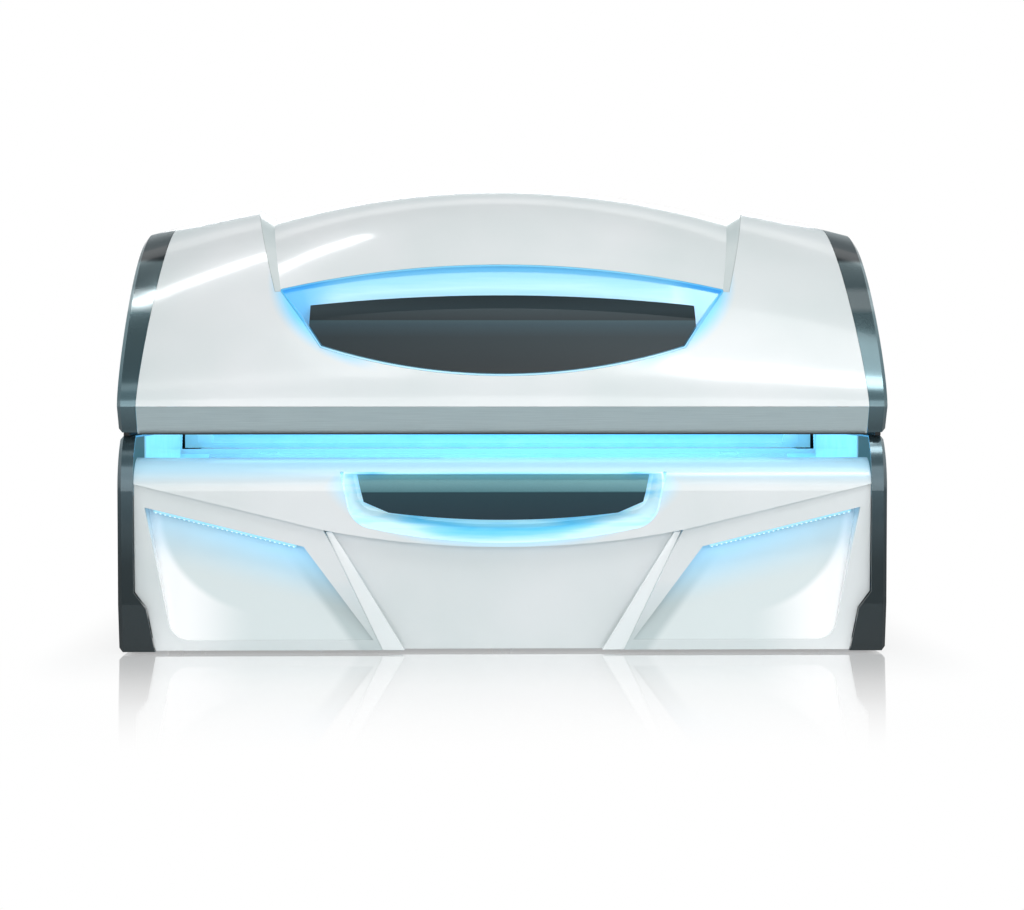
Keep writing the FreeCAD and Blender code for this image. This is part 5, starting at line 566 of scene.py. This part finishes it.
nodeFinish = {
    "shell": ["canopy_rear_shell", "bench_middle_cover"],
    "crown": ["canopy_crown_panel"],
    "glowShell": ["canopy_front_shell"],
    "nose": ["bench_front_trim"],
    "tray": ["bench_wing_panel_left", "bench_wing_panel_right"],
    "cap": ["canopy_end_cap_left", "canopy_end_cap_right", "bench_end_cap_left", "bench_end_cap_right"],
    "plate": ["canopy_badge_panel"],
    "badge": ["bench_badge_panel"],
    "band": ["canopy_light_band", "canopy_recess_frame"],
    "dish": ["bench_light_dish"],
    "rail": ["canopy_front_rail"],
    "frame": ["canopy_frame", "canopy_hinge_cranks", "bench_frame", "hinge_brackets"],
    "sheet": ["bench_floor_pan", "bench_rear_cover", "face_lamp_housing"],
    "deck": ["bench_rear_deck"],
    "box": ["ballasts", "power_unit"],
    "reflector": ["canopy_reflector", "bench_reflector", "face_reflectors"],
    "holder": ["canopy_lampholders", "bench_lampholders"],
    "key": ["button_start", "button_fan", "button_face"],
    "black": ["strut_tube_left", "strut_tube_right"],
    "gland": ["mains_gland"],
    "chrome": ["strut_rod_left", "strut_rod_right"],
    "rubber": ["levelling_feet"],
    "pod": ["control_pod"],
    "nozzle": ["air_nozzle_left", "air_nozzle_right"],
    "fan": ["bench_fan_housings", "bench_fan_impeller_left", "bench_fan_impeller_right",
            "canopy_fan_housing", "canopy_fan_impeller"],
    "acrylic": ["canopy_acrylic"],
    "lyingSheet": ["bench_acrylic"],
    "liner": ["canopy_end_liners", "bench_end_covers", "bench_acrylic_lugs"],
    "tube": ["canopy_lamps", "bench_lamps"],
    "led": ["wing_light_strips"],
    "filter": ["face_filter_glass"],
    "filterRim": ["face_filter_frame"],
    "burner": ["face_lamps"],
}
for finish, names in nodeFinish.items():
    for name in names:
        nodes[name].material_slots[0].material = finishes[finish]
missing = set(nodes) - {name for names in nodeFinish.values() for name in names}
print("finishes set,", len(missing), "nodes without one")


def deselectAll():
    if bpy.context.mode != "OBJECT":
        bpy.ops.object.mode_set(mode="OBJECT")
    bpy.ops.object.select_all(action="DESELECT")


def setActive(piece, others=()):
    # piece is active and selected, together with the others that join it
    deselectAll()
    for each in (piece, *others):
        each.select_set(True)
    bpy.context.view_layer.objects.active = piece


def activeAs(name):
    # the piece that the last command made
    made = bpy.context.object
    made.name = made.data.name = name
    return made


def extrudeBy(shift):
    bpy.ops.mesh.extrude_region_move(TRANSFORM_OT_translate={"value": shift})


def softEdges(piece, width, segments):
    bevel = piece.modifiers.new("softEdges", "BEVEL")
    bevel.width, bevel.segments, bevel.limit_method = width, segments, "ANGLE"
    bpy.ops.object.modifier_apply(modifier="softEdges")


def pickFaces(piece, wanted):
    # opens edit mode with only the faces for which wanted(centre, normal) holds
    bpy.ops.object.mode_set(mode="EDIT")
    bpy.ops.mesh.select_mode(type="FACE")
    bpy.ops.mesh.select_all(action="DESELECT")
    bpy.ops.object.mode_set(mode="OBJECT")
    for face in piece.data.polygons:
        face.select = wanted(face.center, face.normal)
    bpy.ops.object.mode_set(mode="EDIT")


def settle(piece, body, smoothAngle=40.0):
    # place goes into the mesh, faces turned outwards, and the piece rides on its body
    bpy.ops.object.mode_set(mode="OBJECT")
    bpy.ops.object.transform_apply()
    bpy.ops.object.mode_set(mode="EDIT")
    bpy.ops.mesh.select_all(action="SELECT")
    bpy.ops.mesh.normals_make_consistent(inside=False)
    bpy.ops.object.mode_set(mode="OBJECT")
    bpy.ops.object.shade_smooth_by_angle(angle=math.radians(smoothAngle))
    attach(piece, body)
    return piece


def copyTo(piece, name, shift, body):
    # a copy with a mesh of its own, moved by shift
    setActive(piece)
    bpy.ops.object.duplicate(linked=False)
    made = activeAs(name)
    bpy.ops.transform.translate(value=shift)
    bpy.ops.object.transform_apply()
    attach(made, body)
    return made


lampValues = {"radius": 0.019, "sides": 20, "capLength": 0.030, "capRadius": 0.0165, "collar": 0.0035,
              "rim": 0.0012, "pinRadius": 0.0012, "pinLength": 0.007, "pinSpread": 0.0065, "pinRoot": 0.001,
              "nodeReach": 0.022}


def makeLamp(name, low, high, body):
    # glass tube along x at the origin, with a necked aluminium cap and two brass pins at each end
    setup = lampValues
    deselectAll()
    neck = setup["capLength"] + setup["pinLength"]
    neckShare = setup["capRadius"] / setup["radius"]
    pinDepth = setup["pinLength"] + setup["pinRoot"]
    bpy.ops.mesh.primitive_cylinder_add(vertices=setup["sides"], radius=setup["radius"],
                                        depth=high - low - 2 * neck, location=((low + high) / 2, 0, 0),
                                        rotation=(0, math.pi / 2, 0))
    lamp = activeAs(name)
    bpy.ops.object.transform_apply()
    for side in (-1, 1):
        pickFaces(lamp, lambda centre, normal: normal.x * side > 0.9)
        extrudeBy((side * setup["collar"], 0, 0))
        bpy.ops.transform.resize(value=(1, neckShare, neckShare))
        extrudeBy((side * (setup["capLength"] - setup["collar"]), 0, 0))
        bpy.ops.mesh.inset(thickness=setup["rim"])
        extrudeBy((-side * setup["rim"], 0, 0))
    bpy.ops.object.mode_set(mode="OBJECT")
    for key in ("tube", "zinc", "brass"):
        lamp.data.materials.append(finishes[key])
    for face in lamp.data.polygons:
        inward = min(face.center.x - low, high - face.center.x)
        face.material_index = 1 if inward < neck + 1e-5 else 0
    pins = []
    for edge, side in ((low, 1), (high, -1)):
        for spread in (-1, 1):
            bpy.ops.mesh.primitive_cylinder_add(vertices=8, radius=setup["pinRadius"], depth=pinDepth,
                                                rotation=(0, math.pi / 2, 0),
                                                location=(edge + side * pinDepth / 2,
                                                          spread * setup["pinSpread"], 0))
            pin = bpy.context.object
            pin.data.materials.append(finishes["brass"])
            pins.append(pin)
    setActive(lamp, pins)
    bpy.ops.object.join()
    return settle(lamp, body, 50.0)


lampRows = {
    "canopy": {"node": "canopy_lamps", "centre": (-0.070, 0.435), "radius": 0.590, "first": 21.5,
               "step": 6.05, "count": 22},
    "bench": {"node": "bench_lamps", "centre": (-0.055, 1.177), "radius": 0.770, "first": -115.9,
              "step": 3.7, "count": 15},
}


def addLamps(body, row):
    # one lamp of each length is made, and the rest of the row are its copies
    corners = [corner.co for corner in nodes[row["node"]].data.vertices]
    made = {}
    for place in range(row["count"]):
        angle = math.radians(row["first"] + place * row["step"])
        y = row["centre"][0] + row["radius"] * math.cos(angle)
        z = row["centre"][1] + row["radius"] * math.sin(angle)
        along = [c.x for c in corners if max(abs(c.y - y), abs(c.z - z)) < lampValues["nodeReach"]]
        low, high = round(min(along), 4), round(max(along), 4)
        if (low, high) not in made:
            made[(low, high)] = makeLamp(f"{body}LampModel{len(made) + 1}", low, high, body)
        lamp = copyTo(made[(low, high)], f"{body}Lamp{place + 1:02d}", (0, y, z), body)
        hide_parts(row["node"])
    for model in made.values():
        bpy.data.objects.remove(model, do_unlink=True)
    print(body, "lamps:", row["count"])


for body, row in lampRows.items():
    addLamps(body, row)


ledValues = {"start": (0.600, 0.322), "end": (1.075, 0.441), "margin": 0.024, "width": 0.012,
             "height": 0.009, "wall": 0.0014, "beads": 30, "beadRadius": 0.0027, "beadY": -0.0035,
             "beadStretch": 1.3, "drop": 0.0045, "boardShare": 0.4}


def makeLedStrip(name, side, setup):
    # aluminium channel, open downwards, with a row of lens beads on the board inside it
    run = (setup["end"][0] - setup["start"][0], setup["end"][1] - setup["start"][1])
    length = math.hypot(*run) - 2 * setup["margin"]
    deselectAll()
    bpy.ops.mesh.primitive_cube_add(size=1, location=(0, 0, 0),
                                    scale=(length, setup["width"], setup["height"]))
    strip = activeAs(name)
    bpy.ops.object.transform_apply()
    pickFaces(strip, lambda centre, normal: normal.z < -0.9)
    bpy.ops.mesh.inset(thickness=setup["wall"])
    extrudeBy((0, 0, setup["drop"]))
    bpy.ops.object.mode_set(mode="OBJECT")
    for key in ("rail", "led", "seal"):
        strip.data.materials.append(finishes[key])
    for face in strip.data.polygons:
        board = face.normal.z < -0.9 and face.center.z > -setup["height"] * setup["boardShare"]
        opalFront = face.normal.y < -0.9
        face.material_index = 1 if board else 2 if opalFront else 0
    beads = []
    for count in range(setup["beads"]):
        x = length * ((count + 0.5) / setup["beads"] - 0.5)
        bpy.ops.mesh.primitive_uv_sphere_add(segments=10, ring_count=6, radius=setup["beadRadius"],
                                             location=(x, setup["beadY"], -setup["height"] / 2),
                                             scale=(setup["beadStretch"], 1, 1))
        bead = bpy.context.object
        bead.data.materials.append(finishes["led"])
        beads.append(bead)
    setActive(strip, beads)
    bpy.ops.object.join()
    # turned to the slope of the tray's roof and set under it, where the node lies
    low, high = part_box("wing_light_strips")
    strip.rotation_euler = (0, -side * math.atan2(run[1], run[0]), 0)
    middle = (Vector(low) + Vector(high)) / 2
    strip.location = (side * (setup["start"][0] + setup["end"][0]) / 2, middle.y, middle.z)
    settle(strip, "bench")
    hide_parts("wing_light_strips")


makeLedStrip("ledStripLeft", -1, ledValues)
makeLedStrip("ledStripRight", 1, ledValues)
print("light strips ready")

# seam edge of the middle cover: a raised white rib each side, widening towards the floor
ribValues = {"top": (0.514, 0.368), "foot": (0.297, 0.009), "topWidth": 0.020, "footWidth": 0.067,
             "topY": -0.662, "footY": -0.6495, "proud": 0.009, "outerProud": 0.45, "topProud": 0.4,
             "bedded": 0.004, "edge": 0.004}


def makeRib(name, side, setup):
    deselectAll()
    bpy.ops.mesh.primitive_cube_add(size=1, location=(0, 0, 0))
    rib = activeAs(name)
    (topX, topZ), (footX, footZ) = setup["top"], setup["foot"]
    for corner in rib.data.vertices:
        upper, front, outer = corner.co.z > 0, corner.co.y < 0, corner.co.x > 0
        x = (topX if upper else footX) + (setup["topWidth" if upper else "footWidth"] if outer else 0)
        faceY = setup["topY"] if upper else setup["footY"]
        lift = setup["proud"] * (setup["outerProud"] if outer else 1) * (setup["topProud"] if upper else 1)
        corner.co = (side * x, faceY - lift if front else faceY + setup["bedded"], topZ if upper else footZ)
    rib.data.update()
    bpy.ops.object.mode_set(mode="EDIT")
    bpy.ops.mesh.select_all(action="SELECT")
    bpy.ops.mesh.normals_make_consistent(inside=False)
    bpy.ops.object.mode_set(mode="OBJECT")
    softEdges(rib, setup["edge"], 4)
    rib.data.materials.append(finishes["rib"])
    settle(rib, "bench", 50.0)


makeRib("coverRibLeft", -1, ribValues)
makeRib("coverRibRight", 1, ribValues)
print("cover ribs ready")


stripValues = {
    "rearSeal": {"low": (-1.1028, 0.4485, 0.588), "high": (1.1028, 0.4535, 0.664), "finish": "seal",
                 "body": "canopy", "slot": "clear_acrylic", "edge": 0.0015},
    "railBumper": {"low": (-1.092, -0.655, 0.6590), "high": (1.092, -0.630, 0.6625), "finish": "rubber",
                   "body": "canopy", "slot": "foot_rubber", "edge": 0.0015},
    "capSealLeft": {"low": (-1.139, -0.646, 0.6556), "high": (-1.122, 0.470, 0.6652), "finish": "rubber",
                    "body": "canopy", "slot": "foot_rubber", "edge": 0.002},
    "capSealRight": {"low": (1.122, -0.646, 0.6556), "high": (1.139, 0.470, 0.6652), "finish": "rubber",
                     "body": "canopy", "slot": "foot_rubber", "edge": 0.002},
}
grooveShare = {"rim": 0.25, "depth": 0.3}  # of the profile's thickness


def makeStrip(name, setup):
    # extruded profile: rounded nose below and a groove along its upper side
    deselectAll()
    low, high = Vector(setup["low"]), Vector(setup["high"])
    bpy.ops.mesh.primitive_cube_add(size=1, location=(low + high) / 2, scale=high - low)
    strip = activeAs(name)
    bpy.ops.object.transform_apply()
    thick = min(high.y - low.y, high.z - low.z)
    pickFaces(strip, lambda centre, normal: normal.z > 0.9)
    bpy.ops.mesh.inset(thickness=thick * grooveShare["rim"])
    extrudeBy((0, 0, -thick * grooveShare["depth"]))
    bpy.ops.object.mode_set(mode="OBJECT")
    softEdges(strip, setup["edge"], 3)
    strip.data.materials.append(finishes[setup["finish"]])
    settle(strip, setup["body"])


for name, setup in stripValues.items():
    makeStrip(name, setup)
print("seals and bumper ready")


# pleated sleeve that keeps dust off each gas strut's rod
gaiterValues = {"low": (0.3733, 0.560), "high": (0.3933, 0.658), "x": 1.110, "pleats": 9, "outer": 0.0068,
                "inner": 0.0056}


def makeGaiter(name, side, setup):
    deselectAll()
    (lowY, lowZ), (highY, highZ) = setup["low"], setup["high"]
    length = math.hypot(highY - lowY, highZ - lowZ)
    step = length / (2 * setup["pleats"])
    bpy.ops.mesh.primitive_circle_add(vertices=20, radius=setup["inner"], fill_type="NGON",
                                      location=(0, 0, 0))
    gaiter = activeAs(name)
    bpy.ops.object.mode_set(mode="EDIT")
    bpy.ops.mesh.select_all(action="SELECT")
    for fold in range(2 * setup["pleats"]):
        size = setup["outer"] / setup["inner"] if fold % 2 == 0 else setup["inner"] / setup["outer"]
        extrudeBy((0, 0, step))
        bpy.ops.transform.resize(value=(size, size, 1))
    bpy.ops.object.mode_set(mode="OBJECT")
    gaiter.data.materials.append(finishes["seal"])
    gaiter.rotation_euler = (-math.atan2(highY - lowY, highZ - lowZ), 0, 0)
    gaiter.location = (side * setup["x"], lowY, lowZ)
    settle(gaiter, "strut_rod_left" if side < 0 else "strut_rod_right", 30.0)


makeGaiter("strutGaiterLeft", -1, gaiterValues)
makeGaiter("strutGaiterRight", 1, gaiterValues)
print("strut gaiters ready")


screwValues = {"radius": 0.0048, "height": 0.0026, "socket": 0.0021, "depth": 0.0016, "round": 0.0008,
               "coverX": (-1.085, -0.72, -0.27, 0.27, 0.72, 1.085), "coverZ": (0.055, 0.470), "coverY": 0.625,
               "deckX": (-1.05, -0.70, -0.35, 0.0, 0.35, 0.70, 1.05), "deckY": 0.598, "deckZ": 0.586}


def makeScrew(setup):
    # low pan head with a round recess, standing on z = 0
    deselectAll()
    bpy.ops.mesh.primitive_cylinder_add(vertices=18, radius=setup["radius"], depth=setup["height"],
                                        location=(0, 0, setup["height"] / 2))
    screw = activeAs("screwModel")
    bpy.ops.object.transform_apply()
    pickFaces(screw, lambda centre, normal: normal.z > 0.9)
    bpy.ops.mesh.bevel(offset=setup["round"], segments=3, affect="EDGES")
    bpy.ops.object.mode_set(mode="OBJECT")
    pickFaces(screw, lambda centre, normal: normal.z > 0.99)
    bpy.ops.mesh.inset(thickness=setup["radius"] - setup["round"] - setup["socket"])
    extrudeBy((0, 0, -setup["depth"]))
    bpy.ops.object.mode_set(mode="OBJECT")
    screw.data.materials.append(finishes["zinc"])
    return settle(screw, "bench", 35.0)


def addScrews(setup):
    model = makeScrew(setup)
    made = 0
    for x in setup["deckX"]:
        copy = copyTo(model, f"deckScrew{made + 1:02d}", (x, setup["deckY"], setup["deckZ"]), "bench")
        made += 1
    setActive(model)
    model.rotation_euler = (-math.pi / 2, 0, 0)  # head now faces the rear
    bpy.ops.object.transform_apply()
    for x in setup["coverX"]:
        for z in setup["coverZ"]:
            copy = copyTo(model, f"coverScrew{made + 1:02d}", (x, setup["coverY"], z), "bench")
            made += 1
    bpy.data.objects.remove(model, do_unlink=True)
    print("screws:", made)


addScrews(screwValues)


guardValues = {"centre": (0.0, 0.668, 0.330), "rings": (0.028, 0.052, 0.076, 0.097), "wire": 0.0016,
               "bars": 3, "foot": 0.006, "hammered": ((1.5, 0.4), (1.0, 0.6)), "barBehind": 1.6}


def makeGuard(setup):
    # welded wire finger guard across the exhaust opening
    parts = []
    deselectAll()
    for radius in setup["rings"]:
        bpy.ops.mesh.primitive_torus_add(major_radius=radius, minor_radius=setup["wire"], major_segments=48,
                                         minor_segments=8, location=setup["centre"],
                                         rotation=(math.pi / 2, 0, 0))
        parts.append(bpy.context.object)
    x, y, z = setup["centre"]
    for count in range(setup["bars"]):
        bpy.ops.mesh.primitive_cylinder_add(vertices=10, radius=setup["wire"], location=(0, 0, 0),
                                            depth=(setup["rings"][-1] - setup["foot"]) * 2)
        bar = bpy.context.object
        for end in (-1, 1):  # each end is hammered flat into a foot that is welded to the outer ring
            pickFaces(bar, lambda centre, normal: normal.z * end > 0.9)
            for share, step in setup["hammered"]:
                extrudeBy((0, 0, end * setup["foot"] * step))
                bpy.ops.transform.resize(value=(share, 1 / share ** 1.5, 1))
            bpy.ops.object.mode_set(mode="OBJECT")
        bar.location = (x, y - setup["wire"] * setup["barBehind"], z)
        bar.rotation_euler = (0, math.pi * count / setup["bars"], 0)
        bpy.ops.object.transform_apply()
        parts.append(bar)
    setActive(parts[0], parts[1:])
    bpy.ops.object.join()
    guard = activeAs("exhaustGuard")
    guard.data.materials.append(finishes["zinc"])
    settle(guard, "bench", 60.0)


makeGuard(guardValues)
print("exhaust guard ready")


podValues = {"keysX": (-0.350, -0.320, -0.290), "keyY": -0.030, "underZ": 0.946, "ringRadius": 0.0115,
             "ringWire": 0.0014, "skirt": 0.0006, "displayCentre": (-0.320, -0.062),
             "displaySize": (0.052, 0.020), "displayProud": 0.0012, "displayRim": 0.0015,
             "displaySunk": 0.0005, "displayEdge": 0.0004}


def makePodDetails(setup):
    # bezel ring round each key and a smoked display window between the nozzles
    for count, x in enumerate(setup["keysX"]):
        deselectAll()
        bpy.ops.mesh.primitive_torus_add(major_radius=setup["ringRadius"], minor_radius=setup["ringWire"],
                                         major_segments=40, minor_segments=8,
                                         location=(x, setup["keyY"], setup["underZ"]))
        ring = activeAs(f"keyBezel{count + 1}")
        for corner in ring.data.vertices:  # half-round section: the side towards the pod is a flat seat
            corner.co.z = min(corner.co.z, 0.0)
        pickFaces(ring, lambda centre, normal: centre.z > -1e-6)
        extrudeBy((0, 0, setup["skirt"]))
        ring.data.materials.append(finishes["chrome"])
        settle(ring, "canopy", 60.0)
    deselectAll()
    x, y = setup["displayCentre"]
    bpy.ops.mesh.primitive_cube_add(size=1, location=(x, y, setup["underZ"] - setup["displayProud"] / 2),
                                    scale=(*setup["displaySize"], setup["displayProud"]))
    glass = activeAs("podDisplay")
    bpy.ops.object.transform_apply()
    pickFaces(glass, lambda centre, normal: normal.z < -0.9)
    bpy.ops.mesh.inset(thickness=setup["displayRim"])
    extrudeBy((0, 0, setup["displaySunk"]))
    bpy.ops.object.mode_set(mode="OBJECT")
    softEdges(glass, setup["displayEdge"], 2)
    glass.data.materials.append(finishes["display"])
    settle(glass, "canopy")


makePodDetails(podValues)
print("control pod details ready")
